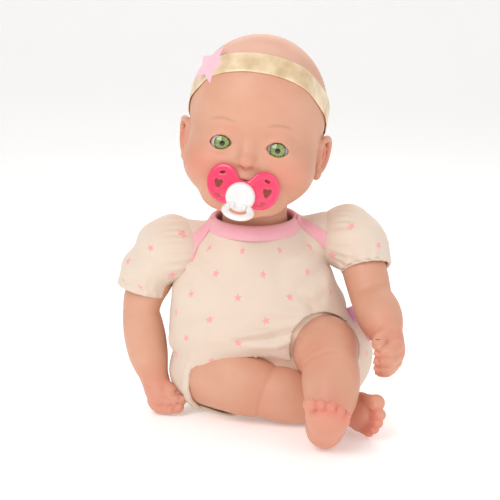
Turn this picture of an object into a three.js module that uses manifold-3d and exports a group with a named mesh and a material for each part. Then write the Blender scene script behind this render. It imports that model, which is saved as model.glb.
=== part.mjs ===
// An interactive baby doll, seated: a stuffed cloth body with a sound box, vinyl head, arms and legs,
// a bodysuit, a headband and a plug-in pacifier.
// Millimetres. +X is the doll's left, -Y its front and +Z up. The origin is on the seat's flat underside.
import * as THREE from "three";
import { mergeVertices } from "three/addons/utils/BufferGeometryUtils.js";
import Module from "manifold-3d";

const wasm = await Module();
wasm.setup();
const V = (x, y, z) => new THREE.Vector3(x, y, z);
const degrees = (d) => (d * Math.PI) / 180;

// ---------- driving dimensions ----------
const gap = 0.3; // between pieces that touch
const runningGap = 0.7; // between pieces that move against each other
const sleeveSwing = 1.4; // extra room in the suit for a sleeve that turns
const leftSleeveTurns = [4, 8]; // degrees of lift at which the left sleeve's hem needs that room too
const vinylWall = 2.4;
const clothWall = 1.2;
const suitWall = 1.3;
const suitEase = 1.7; // between the cloth body and the bodysuit

// Body outline: [height, centre x, centre y, half width, half depth]
const bodyOutline = [
  [3, 4.5, 1, 41, 24],
  [8, 5, 0, 50, 30],
  [18, 4.5, -1, 56, 34.5],
  [36, 4, -3, 58, 37],
  [58, -1.5, -5, 54, 37],
  [82, -5, -3, 49, 33],
  [100, -5, 0, 39, 28],
  [112, -5, 2, 30, 25.5],
];
const bodySquareness = 2.3; // 2 is an ellipse
const seatHeight = 3; // underside of the cloth body, above the suit's seat

const headCentre = V(-3, 0, 190);
const headTurn = { pitch: -3, roll: 7.5, yaw: -5 }; // degrees about X, Y and Z
const skull = { at: V(0, 2, 3), half: V(43, 48, 46.5) };
const jaw = { at: V(0, -13, -28), half: V(41, 34, 35.5) };
const cheek = { at: V(20, -25, -30), half: V(17, 17, 17) };
const nose = { at: V(0, -45, -25), half: V(6.5, 6, 5) };
const ear = { at: V(42, 3, -23), half: V(4.2, 8, 12.5), lean: 12 };

const eyeRadius = 9.5;
const eyeAt = V(17, -33, -17);
const mouthAt = V(0, -44, -42);
const mouthRadius = 5;

const neckPivot = V(-5, 2, 119);
const neckRadius = 21.5;
const neckLength = 10; // of the vinyl neck below the pivot
const neckPlug = { stem: 11, knob: 16 };
const collar = { inner: 24.2, thick: 3, height: 6.5, lean: -10 };

const bandWidth = 11;
const bandThick = 0.7;
const bandLean = 36; // degrees the headband's plane leans from level, front up
const bandEase = 1.1; // room under the headband, so that it slides off
const starRadius = 13;
const starInner = 0.5;
const starThick = 1.6;

const shield = { width: 44, height: 25, thick: 2, notch: 4.5, curve: 55, roll: -6 };
const knob = { radius: 9.2, height: 8, drop: 4 };
const teat = { neck: 3.4, bulb: 4.6 }; // radii
const ring = { outer: 9.4, bar: 2.5, droop: 14 };

// Arms: the shoulder ball, the elbow, and the forearm and hand as [x, y, z, radius]
const shoulderBall = 21.3;
const sleeveWall = 1.2;
const sleeveHem = 16.4;
const upperArmRadius = 13.6;
const armPlug = { start: 16, radius: 10.4 };
const arms = {
  right: {
    shoulder: V(-56, 1, 103),
    elbow: V(-77.5, -1, 53),
    sleeve: 39,
    forearm: [[-77.5, -1.5, 49, 12.8], [-74.5, -3, 37, 13.2], [-70.5, -6, 25, 10.6], [-67.5, -9, 17, 8.6]],
    hand: [[-67, -11, 12, 9.5], [-63, -15, 7.5, 7]],
    fingers: [
      [[-64, -17, 12, 4.2], [-55, -22, 8.5, 3.6], [-51, -24, 11, 3.2]],
      [[-66, -16, 7, 4.2], [-59, -22, 4.6, 3.8], [-53.5, -25, 5, 3.4]],
      [[-69, -14, 5.5, 4], [-64, -20, 4.4, 3.8], [-59, -24.5, 4.2, 3.4]],
      [[-72, -11, 6, 3.6], [-69, -17, 4.2, 3.5], [-65, -22, 4, 3.2]],
    ],
    thumb: [[-66, -14, 18, 4], [-61, -18, 14, 3.8], [-58.5, -20, 10.5, 3.3]],
  },
  left: {
    shoulder: V(53.5, 1, 111),
    elbow: V(65, -21, 73),
    sleeve: 31,
    forearm: [[65.5, -23, 71.5, 12.4], [69, -35, 67.5, 13.2], [72.5, -46, 63, 10.8], [74.5, -52, 60, 9]],
    hand: [[76, -57, 57.5, 10], [78.5, -61, 53, 8.5]],
    fingers: [
      [[80, -64, 56.5, 4.4], [74.5, -69, 53.5, 4], [69.5, -66.5, 51.5, 3.6]],
      [[80.5, -63, 51, 4.4], [75, -68, 48, 4], [69.5, -65.5, 46.5, 3.6]],
      [[80, -60.5, 46.5, 4.2], [75, -65.5, 43, 3.8], [70, -63, 42, 3.4]],
      [[79, -57, 43.5, 3.8], [75.5, -62, 39.5, 3.5], [71, -60, 38.5, 3.2]],
    ],
    thumb: [[73, -60, 61, 4.2], [70, -66, 60, 4], [68.5, -70, 58.5, 3.4]],
  },
};

// Legs: the hip pivot, the vinyl leg and foot as [x, y, z, radius], and the toes
const thighBall = 20.6;
const thighPlug = { start: -8, end: 5, radius: 16.6 };
const cuffRing = { from: 10, to: 14.5, ease: 0.6, thick: 2 };
const legLift = 20; // degrees the left leg lifts
const rightLegRoll = 7; // degrees the right leg rolls about the line from hip to ankle
const legs = {
  right: {
    hip: V(-37, -9, 24.5),
    leg: [
      [-22, -21.5, 22.5, 20.6],
      [-6, -33, 20, 17.8],
      [10, -38, 17.2, 16],
      [26, -41, 14.2, 13.2],
      [38, -43, 13.4, 12.4],
    ],
    foot: [[45, -44, 13.5, 12.6], [52, -52, 13.6, 11], [60, -62, 13.8, 9.5], [65, -68, 14.4, 8.2]],
    spread: V(0, 0, 1),
    width: 12.6,
    toes: [
      [[62.5, -66, 23, 5], [68.5, -73.5, 23.6, 5.2]],
      [[63.5, -67.5, 16.5, 4], [69.5, -75, 17, 4]],
      [[63, -68, 11.5, 3.6], [68.5, -75, 11.8, 3.6]],
      [[62, -68, 7, 3.2], [66.5, -74, 7.2, 3.2]],
      [[60.5, -67, 3.4, 2.8], [64, -71.5, 3.4, 2.8]],
    ],
  },
  left: {
    hip: V(38, -12, 40),
    leg: [
      [38.5, -30, 46.2, 19.9],
      [39, -47, 47.2, 17.4],
      [39.5, -63, 40, 16.2],
      [39.5, -77.5, 28.5, 13.8],
      [39.5, -87, 19.5, 12],
    ],
    foot: [[39.5, -91, 12.6, 12.2], [39.5, -99, 18, 10.6], [39.5, -106, 25.5, 9.4], [39.3, -109.5, 30.5, 8]],
    spread: V(1, 0, 0),
    width: 13,
    toes: [
      [[31, -106.5, 31, 5], [30.5, -110.5, 37.5, 5.4]],
      [[38, -107.5, 32, 4], [38, -111.5, 38.5, 4.2]],
      [[43.3, -107.5, 31, 3.7], [43.6, -111.5, 37, 3.9]],
      [[47.7, -106.5, 28.6, 3.4], [48.2, -110.5, 34, 3.6]],
      [[51, -104.5, 25.6, 3], [51.8, -108.5, 30, 3.2]],
    ],
  },
};

// Sound box in the chest, by half width, half depth and half height
const box = { at: V(-8, 3, 70), half: V(28, 13, 22), wall: 1.8, corner: 5 };
const cell = { radius: 5.25, length: 44.5, pitch: 11.6, count: 3 }; // AAA
const button = { radius: 9, travel: 2.5, rise: 4.2 };
const powerSwitch = { width: 5, height: 2.4, rise: 1.6, travel: 3 };
const speaker = { radius: 12, depth: 5 };
const switchRoom = 4.6; // height that the battery door leaves for the switch
const pelletTop = 17;
const label = { at: V(57, -4, 60), reach: 11, thick: 1, height: 19 };

// ---------- solids ----------
function solid(geometry) {
  const g = geometry.clone();
  for (const name of Object.keys(g.attributes)) if (name !== "position") g.deleteAttribute(name);
  const merged = mergeVertices(g, 1e-4);
  const index = merged.index.array;
  const kept = [];
  for (let i = 0; i < index.length; i += 3) {
    const [a, b, c] = index.slice(i, i + 3);
    if (a !== b && b !== c && c !== a) kept.push(a, b, c);
  }
  const build = (triangles) =>
    new wasm.Manifold(
      new wasm.Mesh({
        numProp: 3,
        vertProperties: new Float32Array(merged.attributes.position.array),
        triVerts: new Uint32Array(triangles),
      }),
    );
  const made = build(kept);
  return made.volume() < 0 ? build(kept.reverse()) : made;
}

function shapeOf(manifold) {
  const m = manifold.getMesh();
  const positions = new Float32Array(m.numVert * 3);
  for (let i = 0; i < m.numVert; i++)
    positions.set(m.vertProperties.subarray(i * m.numProp, i * m.numProp + 3), i * 3);
  const g = new THREE.BufferGeometry();
  g.setAttribute("position", new THREE.BufferAttribute(positions, 3));
  g.setIndex(new THREE.BufferAttribute(m.triVerts, 1));
  g.computeVertexNormals();
  return g;
}

const union = (...parts) => parts.reduce((a, b) => a.add(b));
const cut = (first, ...others) => others.reduce((a, b) => a.subtract(b), first);

// The largest single piece of a solid, which drops the slivers that a cut can leave.
const mainPiece = (s) => s.decompose().reduce((a, b) => (a.volume() > b.volume() ? a : b));

function placed(geometry, position, rotation = new THREE.Euler()) {
  const m = new THREE.Matrix4().makeRotationFromEuler(rotation).setPosition(position);
  return solid(geometry.clone().applyMatrix4(m));
}

function along(geometry, from, direction) {
  const q = new THREE.Quaternion().setFromUnitVectors(V(0, 1, 0), direction.clone().normalize());
  const m = new THREE.Matrix4().makeRotationFromQuaternion(q).setPosition(from);
  return solid(geometry.clone().applyMatrix4(m));
}

// A closed surface through rings that all have the same number of points.
function loft(rings) {
  const n = rings[0].length;
  const middle = (ring) => ring.reduce((a, p) => a.add(p), V(0, 0, 0)).multiplyScalar(1 / n);
  const points = [...rings.flat(), middle(rings[0]), middle(rings[rings.length - 1])];
  const first = rings.length * n;
  const triangles = [];
  for (let r = 0; r + 1 < rings.length; r++)
    for (let i = 0; i < n; i++) {
      const [a, b] = [r * n + i, r * n + ((i + 1) % n)];
      triangles.push(a, b, a + n, b, b + n, a + n);
    }
  for (let i = 0; i < n; i++) {
    const j = (i + 1) % n;
    triangles.push(first, j, i, first + 1, first - n + i, first - n + j);
  }
  const g = new THREE.BufferGeometry();
  g.setAttribute("position", new THREE.Float32BufferAttribute(points.flatMap((p) => p.toArray()), 3));
  g.setIndex(triangles);
  return solid(g);
}

function ellipsoid(at, half, detail = 16, rotation = new THREE.Euler()) {
  const g = new THREE.SphereGeometry(1, detail, Math.round(detail * 0.6));
  g.rotateX(Math.PI / 2);
  g.scale(half.x, half.y, half.z);
  return placed(g, at, rotation);
}

const ball = (at, radius, detail = 16) => ellipsoid(at, V(radius, radius, radius), detail);

function roundBox(at, half, corner, segments = 3) {
  const outline = new THREE.Shape();
  const [w, h] = [half.x - corner, half.z - corner];
  outline.moveTo(-w, -half.z);
  outline.lineTo(w, -half.z).absarc(w, -h, corner, -Math.PI / 2, 0);
  outline.lineTo(half.x, h).absarc(w, h, corner, 0, Math.PI / 2);
  outline.lineTo(-w, half.z).absarc(-w, h, corner, Math.PI / 2, Math.PI);
  outline.lineTo(-half.x, -h).absarc(-w, -h, corner, Math.PI, Math.PI * 1.5);
  const g = new THREE.ExtrudeGeometry(outline,
    { depth: half.y * 2, bevelEnabled: false, curveSegments: segments });
  g.rotateX(Math.PI / 2).translate(0, half.y, 0);
  return placed(g, at);
}

// A round limb through [x, y, z, radius] stations with round ends; grow makes it fatter all over.
function limb(stations, { sides = 10, steps = 1, grow = 0, dome = [66, 34] } = {}) {
  const line = new THREE.CatmullRomCurve3(stations.map(([x, y, z]) => V(x, y, z)));
  const sizes = new THREE.CatmullRomCurve3(stations.map((s) => V(s[3], 0, 0)));
  const count = (stations.length - 1) * steps;
  const frames = [];
  let side = null;
  for (let i = 0; i <= count; i++) {
    const t = i / count;
    const tangent = line.getTangent(t);
    side ??= V(0, 0, 1).cross(tangent).lengthSq() > 0.1 ? V(0, 0, 1).cross(tangent) : V(1, 0, 0).cross(tangent);
    side.addScaledVector(tangent, -side.dot(tangent)).normalize();
    frames.push({ at: line.getPoint(t), tangent, side: side.clone(), radius: sizes.getPoint(t).x + grow });
  }
  const ringAt = ({ at, tangent, side: across, radius }, shift, scale) => {
    const up = tangent.clone().cross(across);
    const centre = at.clone().addScaledVector(tangent, shift);
    return Array.from({ length: sides }, (_, i) => {
      const a = (i / sides) * 2 * Math.PI;
      return centre.clone().addScaledVector(across, Math.cos(a) * radius * scale)
        .addScaledVector(up, Math.sin(a) * radius * scale);
    });
  };
  const [head, tail] = [frames[0], frames[count]];
  const rings = [];
  const angles = dome.map(degrees);
  for (const a of angles) rings.push(ringAt(head, -head.radius * Math.sin(a), Math.cos(a)));
  for (const f of frames) rings.push(ringAt(f, 0, 1));
  for (const a of [...angles].reverse()) rings.push(ringAt(tail, tail.radius * Math.sin(a), Math.cos(a)));
  return loft(rings);
}

// A solid of revolution: profile holds [distance along the axis, radius], from end to end.
function turned(profile, from, direction, segments = 14) {
  const points = [new THREE.Vector2(0, profile[0][0]), ...profile.map(([d, r]) => new THREE.Vector2(r, d))];
  points.push(new THREE.Vector2(0, profile[profile.length - 1][0]));
  return along(new THREE.LatheGeometry(points, segments), from, direction);
}

// A bullet: a half ball at its centre that runs on as a solid of revolution through the tail's stations.
function bullet(centre, axis, radius, tail, segments = 12) {
  const nose = [-90, -70, -48, -24, 0].map(degrees)
    .map((a) => [radius * Math.sin(a), Math.max(radius * Math.cos(a), 0.05)]);
  return turned([...nose, ...tail], centre, axis, segments);
}

// ---------- body of the doll ----------
function bodyForm(grow, bottom = seatHeight) {
  const around = 20;
  const ringOf = ([z, cx, cy, a, b], pull = 1) =>
    Array.from({ length: around }, (_, i) => {
      const t = (i / around) * 2 * Math.PI;
      const [c, s] = [Math.cos(t), Math.sin(t)];
      const x = Math.sign(c) * Math.abs(c) ** (2 / bodySquareness);
      const y = Math.sign(s) * Math.abs(s) ** (2 / bodySquareness);
      return V(cx + x * (a + grow) * pull, cy + y * (b + grow) * pull, z);
    });
  const rings = bodyOutline.map((row) => ringOf(row));
  const base = bodyOutline[0];
  rings[0] = ringOf([bottom, ...base.slice(1)]);
  const top = bodyOutline[bodyOutline.length - 1];
  rings.push(ringOf([top[0] + 5 + grow, top[1], top[2], top[3] - 4, top[4] - 1.5]));
  return loft(rings);
}

const skin = new THREE.MeshStandardMaterial({ color: 0xe9b494, roughness: 0.55 });
const cream = new THREE.MeshStandardMaterial({ color: 0xf5e0c4, roughness: 0.95 });
const bodyCloth = new THREE.MeshStandardMaterial({ color: 0xefc3a4, roughness: 0.95 });
const fibre = new THREE.MeshStandardMaterial({ color: 0xfbfaf6, roughness: 1 });
const pinkTrim = new THREE.MeshStandardMaterial({ color: 0xf4b8c6, roughness: 0.9 });
const hotPink = new THREE.MeshStandardMaterial({ color: 0xf23a66, roughness: 0.3 });
const whitePlastic = new THREE.MeshStandardMaterial({ color: 0xf3ecec, roughness: 0.35 });
const goldSatin = new THREE.MeshStandardMaterial({ color: 0xe6cd9d, roughness: 0.35 });
const felt = new THREE.MeshStandardMaterial({ color: 0xf9c4d2, roughness: 0.95 });
const eyeGreen = new THREE.MeshStandardMaterial({ color: 0x8ea64b, roughness: 0.1 });
const nylon = new THREE.MeshStandardMaterial({ color: 0xe9e7e0, roughness: 0.5 });
const greyPlastic = new THREE.MeshStandardMaterial({ color: 0xd9d6d0, roughness: 0.5 });
const board = new THREE.MeshStandardMaterial({ color: 0x2f6b3f, roughness: 0.5 });
const metal = new THREE.MeshStandardMaterial({ color: 0xb9bcc0, roughness: 0.3, metalness: 1 });
const cellWrap = new THREE.MeshStandardMaterial({ color: 0x3d6a4a, roughness: 0.4 });

const doll = new THREE.Group();
function add(parent, name, shape, material) {
  const rounded = solid(shapeOf(mainPiece(shape)));
  const mesh = new THREE.Mesh(shapeOf(mainPiece(rounded)), material);
  mesh.name = name;
  parent.add(mesh);
}

const sides = ["right", "left"];
const axisOf = (arm) => arm.elbow.clone().sub(arm.shoulder).normalize();
const legAxis = (leg) => V(...leg.leg[0].slice(0, 3)).sub(leg.hip).normalize();
const leanOf = (angle) => V(0, Math.sin(degrees(angle)), Math.cos(degrees(angle)));

// ---------- room that moving pieces need ----------
const turnedAbout = (s, pivot, axis, angle) => {
  const q = new THREE.Quaternion().setFromAxisAngle(axis, degrees(angle));
  const m = new THREE.Matrix4().makeTranslation(...pivot.toArray())
    .multiply(new THREE.Matrix4().makeRotationFromQuaternion(q))
    .multiply(new THREE.Matrix4().makeTranslation(...pivot.clone().negate().toArray()));
  const g = shapeOf(s);
  return solid(g.applyMatrix4(m));
};

function sleeveForm(arm, grow) {
  const r = shoulderBall + gap + grow;
  return bullet(arm.shoulder, axisOf(arm), r,
    [[arm.sleeve * 0.35, r - 1], [arm.sleeve * 0.7, r - 2.4], [arm.sleeve, sleeveHem + grow]]);
}

const thighRoom = (leg, extra, count) => limb([
  [...leg.hip.toArray(), thighBall + 0.6],
  [...leg.leg[0].slice(0, 3), thighBall + cuffRing.thick + 0.6],
  ...leg.leg.slice(1, count),
], { grow: extra + 1, sides: 8 });

const rollAxis = V(...legs.right.foot[0].slice(0, 3)).sub(legs.right.hip).normalize().negate();

function limbRoom(extra) {
  const { left, right } = legs;
  const resting = thighRoom(left, extra, 3);
  return union(
    ...sides.map((s) => sleeveForm(arms[s], sleeveWall + extra + sleeveSwing)),
    ...leftSleeveTurns.map((angle) => turnedAbout(
      sleeveForm(arms.left, sleeveWall + extra + sleeveSwing), arms.left.shoulder, V(-1, 0, 0), angle)),
    thighRoom(right, extra + 0.5, 5),
    turnedAbout(thighRoom(right, extra + 0.5, 5), right.hip, rollAxis, rightLegRoll + 1),
    resting,
    turnedAbout(resting, left.hip, V(-1, 0, 0), legLift + 2));
}

const neckRoomRadius = Math.hypot(neckRadius, neckLength) + runningGap;
// The gathered cloth top of the body, tied inside the head's vinyl neck.
function neckPieces() {
  const { stem, knob: top } = neckPlug;
  const length = Math.sqrt(neckRoomRadius ** 2 - stem ** 2) - gap;
  const foot = neckPivot.clone().add(V(0, 0, -length));
  add(doll, "neck_plug", union(
    turned([[0, stem], [length, stem]], foot, V(0, 0, 1), 16),
    ball(neckPivot, top, 14)), bodyCloth);
  const tieStart = foot.clone().add(V(0, 0, 5));
  add(doll, "neck_tie", cut(
    turned([[0, stem + 2.2], [2.6, stem + 2.2]], tieStart, V(0, 0, 1), 18),
    turned([[-1, stem + gap], [4, stem + gap]], tieStart, V(0, 0, 1), 16)), nylon);
}

const neckRoom = (extra) => ball(neckPivot, neckRoomRadius + extra + 0.4, 14);

// ---------- sound box ----------
const inBox = (x, y, z) => box.at.clone().add(V(x, y, z));
const boxSolid = (shrink, from, to) => roundBox(
  inBox(0, (from + to) / 2, 0),
  V(box.half.x - shrink, (to - from) / 2, box.half.z - shrink), Math.max(box.corner - shrink, 1));
const outward = V(0, -1, 0);
const buttonX = box.half.x - button.radius - 7;
const speakerX = -box.half.x + speaker.radius + 4;
const doorHalf = V(box.half.x - box.wall - 1, 0, box.half.z - box.wall - 1.6);
const cellsX = -2.6;
const screwAt = V(box.half.x - box.wall - 3, 0, 0);
const switchAt = V(-8, 0, box.half.z - 2.2);

function soundBoxPieces() {
  const [front, back, split] = [-box.half.y, box.half.y, 0];
  const { wall } = box;
  const frontShell = cut(boxSolid(0, front, split - gap / 2), boxSolid(wall, front + wall, split + 5));
  const buttonHole = turned([[-1, button.radius + gap], [wall + 2, button.radius + gap]],
    inBox(buttonX, front + wall + 1, 0), outward);
  const slots = [-6, -2, 2, 6].map((x) => placed(
    new THREE.BoxGeometry(1.6, 2 * wall + 2, 2 * Math.sqrt((speaker.radius - 2) ** 2 - x * x)),
    inBox(speakerX + x, front, 0)));
  add(doll, "sound_box_front", cut(frontShell, buttonHole, ...slots), greyPlastic);

  const door = (grow, from, to) => roundBox(inBox(0, (from + to) / 2, -switchRoom / 2),
    V(doorHalf.x + grow, (to - from) / 2, doorHalf.z - switchRoom / 2 + grow), 2, 2);
  const switchSlot = placed(new THREE.BoxGeometry(powerSwitch.width + powerSwitch.travel + 2 * gap, 10,
    powerSwitch.height + 2 * gap), inBox(switchAt.x, back, switchAt.z));
  const backShell = cut(boxSolid(0, split + gap / 2, back), boxSolid(wall, split - 5, back - wall),
    door(gap, back - wall - 1, back + 1));
  add(doll, "sound_box_back", cut(backShell, switchSlot), greyPlastic);
  const screwRadius = 1.4;
  const screwHole = turned([[-5, screwRadius + gap], [5, screwRadius + gap]],
    inBox(0, back, 0).add(screwAt), outward, 12);
  add(doll, "battery_door", cut(door(0, back - wall, back), screwHole), greyPlastic);
  add(doll, "battery_door_screw", turned([[-0.6, screwRadius], [wall + 4, screwRadius]],
    inBox(0, back, 0).add(screwAt), outward, 12), metal);

  const cellY = back - wall - gap - cell.radius;
  const rowZ = (i) => (i - (cell.count - 1) / 2) * cell.pitch - switchRoom / 2;
  for (let i = 0; i < cell.count; i++) {
    const flip = i % 2 ? -1 : 1;
    const foot = inBox(cellsX - flip * cell.length / 2, cellY, rowZ(i));
    add(doll, `battery_${i + 1}`, turned([[0, cell.radius], [cell.length - 1.2, cell.radius],
      [cell.length - 1.2, 1.9], [cell.length, 1.9]], foot, V(flip, 0, 0), 12), cellWrap);
  }
  for (const [name, s] of [["right", -1], ["left", 1]])
    add(doll, `battery_contact_${name}`, placed(new THREE.BoxGeometry(0.6, 8, cell.pitch * cell.count - 8),
      inBox(cellsX + s * (cell.length / 2 + gap + 0.4), cellY, rowZ(1))), metal);
  const boardThick = 1.6;
  add(doll, "circuit_board", placed(new THREE.BoxGeometry(2 * (box.half.x - wall) - 4, boardThick,
    2 * (box.half.z - wall) - 4), inBox(0, cellY - cell.radius - gap - boardThick / 2, 0)), board);
  add(doll, "speaker", turned([[0, speaker.radius - 4], [2, speaker.radius - 4],
    [speaker.depth - 1.4, speaker.radius], [speaker.depth, speaker.radius]],
  inBox(speakerX, front + wall + gap + speaker.depth, 0), outward, 16), greyPlastic);
  add(doll, "belly_button", turned([[-gap - 1.4, button.radius + 1.4], [-gap - 0.1, button.radius + 1.4],
    [-gap - 0.1, button.radius - 0.2], [wall + button.rise - 1, button.radius - 0.2],
    [wall + button.rise, button.radius - 2]], inBox(buttonX, front + wall, 0), outward, 16), hotPink);
  add(doll, "power_switch", placed(
    new THREE.BoxGeometry(powerSwitch.width, wall + powerSwitch.rise, powerSwitch.height),
    inBox(switchAt.x - powerSwitch.travel / 2, back - wall / 2 + powerSwitch.rise / 2, switchAt.z)), hotPink);
}

// ---------- cloth body ----------
function bodyPieces() {
  const cavity = (side) => V(box.half.x + gap + side, 30, box.half.z + gap + side);
  const pocket = roundBox(inBox(0, 30, 0), cavity(0), box.corner);
  const cover = cut(bodyForm(0), bodyForm(-clothWall, seatHeight + clothWall),
    limbRoom(runningGap), neckRoom(0), pocket);
  add(doll, "body_cover", cover, bodyCloth);

  const inner = (drop) => bodyForm(-clothWall - gap - drop, seatHeight + clothWall + gap);
  const block = (height, from) => placed(new THREE.BoxGeometry(200, 200, height), V(0, 0, from + height / 2));
  const roomForLimbs = limbRoom(runningGap + gap + clothWall);
  const bag = cut(inner(7), block(200, pelletTop), roomForLimbs);
  add(doll, "seat_pellet_bag", bag, bodyCloth);
  const buttonRoom = turned([[0, button.radius + 2], [button.rise + 3, button.radius + 2]],
    inBox(buttonX, -box.half.y, 0), outward, 10);
  const filling = cut(inner(0), roomForLimbs, neckRoom(gap), pocket,
    roundBox(box.at, box.half.clone().addScalar(gap), box.corner), buttonRoom,
    block(60, pelletTop + gap - 60));
  add(doll, "body_filling", filling, fibre);

  const flapForm = cut(bodyForm(suitEase - gap), bodyForm(gap)).intersect(roundBox(inBox(0, 34, 0),
    cavity(5), box.corner));
  const stripAt = inBox(0, 34, -box.half.z - 1);
  const strip = (grow) => placed(new THREE.BoxGeometry(90, 60, 7 + 2 * grow), stripAt);
  add(doll, "pocket_flap", cut(flapForm, strip(gap), limbRoom(runningGap)), bodyCloth);
  add(doll, "hook_and_loop_strip", flapForm.intersect(strip(0)), nylon);
}

// ---------- bodysuit ----------
const suitForm = (extra) => bodyForm(suitEase + extra, extra > 0 ? 0 : suitWall);
const collarStart = neckPivot.clone().addScaledVector(leanOf(collar.lean), -2.6);

function suitPieces() {
  const tilt = leanOf(collar.lean);
  const collarOuter = collar.inner + collar.thick;
  const neckCut = turned([[0, collarOuter + gap], [40, collarOuter + gap]], collarStart, tilt, 24);
  const under = neckPivot.clone().addScaledVector(tilt, -40);
  const throat = turned([[0, collar.inner], [50, collar.inner]], under, tilt, 20)
    .intersect(placed(new THREE.BoxGeometry(90, 90, 30), V(neckPivot.x, 0, neckPivot.z)));
  const legHoles = sides.map((s) => turned([[0, thighBall + suitWall + 1], [60, thighBall + suitWall + 1]],
    legs[s].hip, legAxis(legs[s])));
  const cloth = cut(suitForm(suitWall), suitForm(0), limbRoom(runningGap), neckRoom(0));
  add(doll, "bodysuit", cut(cloth, neckCut, throat, ...legHoles), cream);

  const rim = collarOuter - 1;
  const band = cut(
    turned([[gap, rim], [gap + 1, collarOuter], [collar.height - 1, collarOuter], [collar.height, rim]],
      collarStart, tilt, 28),
    turned([[-2, collar.inner], [collar.height + 2, collar.inner]], collarStart, tilt, 28),
    limbRoom(runningGap), bodyForm(gap));
  add(doll, "neckline_binding", band, pinkTrim);

  for (const [i, x] of [-9, 0, 9].entries())
    add(doll, `crotch_snap_${i + 1}`, turned([[0, 3.4], [1.2, 3.2], [1.6, 2.4]],
      V(bodyOutline[0][1] + x, bodyOutline[0][2], suitWall + 0.05), V(0, 0, 1), 12)
      .subtract(bodyForm(0.1)), whitePlastic);

  add(doll, "side_label", cut(placed(new THREE.BoxGeometry(label.reach * 2, label.thick, label.height),
    label.at), suitForm(suitWall + gap), limbRoom(runningGap)), pinkTrim);
}

const digit = { sides: 6, dome: [50] };

// ---------- arms ----------
function armPieces(side) {
  const arm = arms[side];
  const axis = axisOf(arm);
  const reach = arm.elbow.distanceTo(arm.shoulder);
  const clothEnd = arm.sleeve - 8;
  const name = (what) => `${side}_${what}`;
  const plugRoom = turned([[armPlug.start - gap, armPlug.radius + gap], [clothEnd + 20, armPlug.radius + gap]],
    arm.shoulder, axis);
  const cloth = bullet(arm.shoulder, axis, shoulderBall,
    [[clothEnd * 0.45, shoulderBall - 3.4], [clothEnd - 8, upperArmRadius + 0.6], [clothEnd, upperArmRadius]])
    .subtract(plugRoom);
  add(doll, name("upper_arm_cloth"), cloth, bodyCloth);

  const tieAt = clothEnd - 3;
  const tie = cut(
    turned([[tieAt - 1.3, upperArmRadius + 2.1], [tieAt + 1.3, upperArmRadius + 2.1]], arm.shoulder, axis, 18),
    turned([[tieAt - 6, upperArmRadius + 0.6], [tieAt + 6, upperArmRadius + 0.6]], arm.shoulder, axis, 18));
  add(doll, name("arm_tie"), cut(tie, cloth), nylon);

  const inward = side === "right" ? 1 : -1;
  const armhole = turned([[0, 13], [60, 13]], arm.shoulder, V(inward, 0.1, 0.05), 12);
  const mouth = turned([[arm.sleeve - 3, upperArmRadius + 1], [arm.sleeve + 9, upperArmRadius + 1]],
    arm.shoulder, axis, 18);
  add(doll, name("sleeve"), cut(sleeveForm(arm, sleeveWall), sleeveForm(arm, 0), armhole, mouth), cream);

  const wrist = arm.forearm[arm.forearm.length - 1];
  const upper = turned([
    [armPlug.start, armPlug.radius - 2], [armPlug.start + 1.5, armPlug.radius],
    [clothEnd + gap, armPlug.radius], [clothEnd + gap, upperArmRadius - 1], [clothEnd + 2, upperArmRadius],
    [reach - 2, upperArmRadius - 0.4], [reach + 4, upperArmRadius - 4]], arm.shoulder, axis, 16);
  const forearm = limb([[...arm.elbow.toArray(), upperArmRadius - 0.8], ...arm.forearm]);
  const palm = limb([wrist, ...arm.hand], { sides: 8 });
  const digits = [...arm.fingers, arm.thumb].map((f) => limb(f, digit));
  add(doll, name("arm"), union(upper, forearm, palm, ...digits), skin);
}

// ---------- legs ----------
function legPieces(side) {
  const leg = legs[side];
  const axis = legAxis(leg);
  const name = (what) => `${side}_${what}`;
  const [start, ...rest] = leg.leg;
  const startAt = V(...start.slice(0, 3)).distanceTo(leg.hip);
  const { end, radius } = thighPlug;
  const cloth = cut(
    bullet(leg.hip, axis, thighBall - 0.6, [[end, thighBall - 0.6]]),
    turned([[thighPlug.start - gap, radius + gap], [60, radius + gap]], leg.hip, axis));
  add(doll, name("thigh_cloth"), cloth, bodyCloth);

  const thigh = turned([
    [thighPlug.start, radius - 2], [thighPlug.start + 1.5, radius], [end + gap, radius],
    [end + gap, thighBall - 2], [end + 3, thighBall - 0.2], [startAt, start[3]]], leg.hip, axis, 14);
  const behind = turned([[-60, thighBall + 20], [end + 1, thighBall + 20]], leg.hip, axis, 18);
  const shank = cut(limb([start, ...rest], { sides: 12 }), behind);
  const sole = limb(leg.foot);
  const ballOfFoot = ellipsoid(V(...leg.foot[2].slice(0, 3)),
    V(leg.spread.x ? leg.width : 8.2, 10, leg.spread.z ? leg.width : 9), 10);
  const toes = leg.toes.map((t) => limb(t, digit));
  const floor = placed(new THREE.BoxGeometry(400, 400, 100), V(0, 0, -50));
  add(doll, name("leg"), cut(union(thigh, shank, sole, ballOfFoot, ...toes), floor), skin);

  const cuff = cut(
    turned([[cuffRing.from, thighBall + cuffRing.thick], [cuffRing.to, thighBall + cuffRing.thick - 0.6]],
      leg.hip, axis, 16),
    turned([[0, thighBall + cuffRing.ease], [60, thighBall + cuffRing.ease]], leg.hip, axis, 16),
    shank.add(thigh));
  add(doll, name("leg_binding"), cut(cuff, floor), pinkTrim);
}

// ---------- head ----------
const headGroup = new THREE.Group();
headGroup.position.copy(headCentre);
const headRotation = new THREE.Euler(...[headTurn.pitch, headTurn.roll, headTurn.yaw].map(degrees), "ZYX");
headGroup.setRotationFromEuler(headRotation);
doll.add(headGroup);
const mirrored = (p) => V(-p.x, p.y, p.z);
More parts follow.
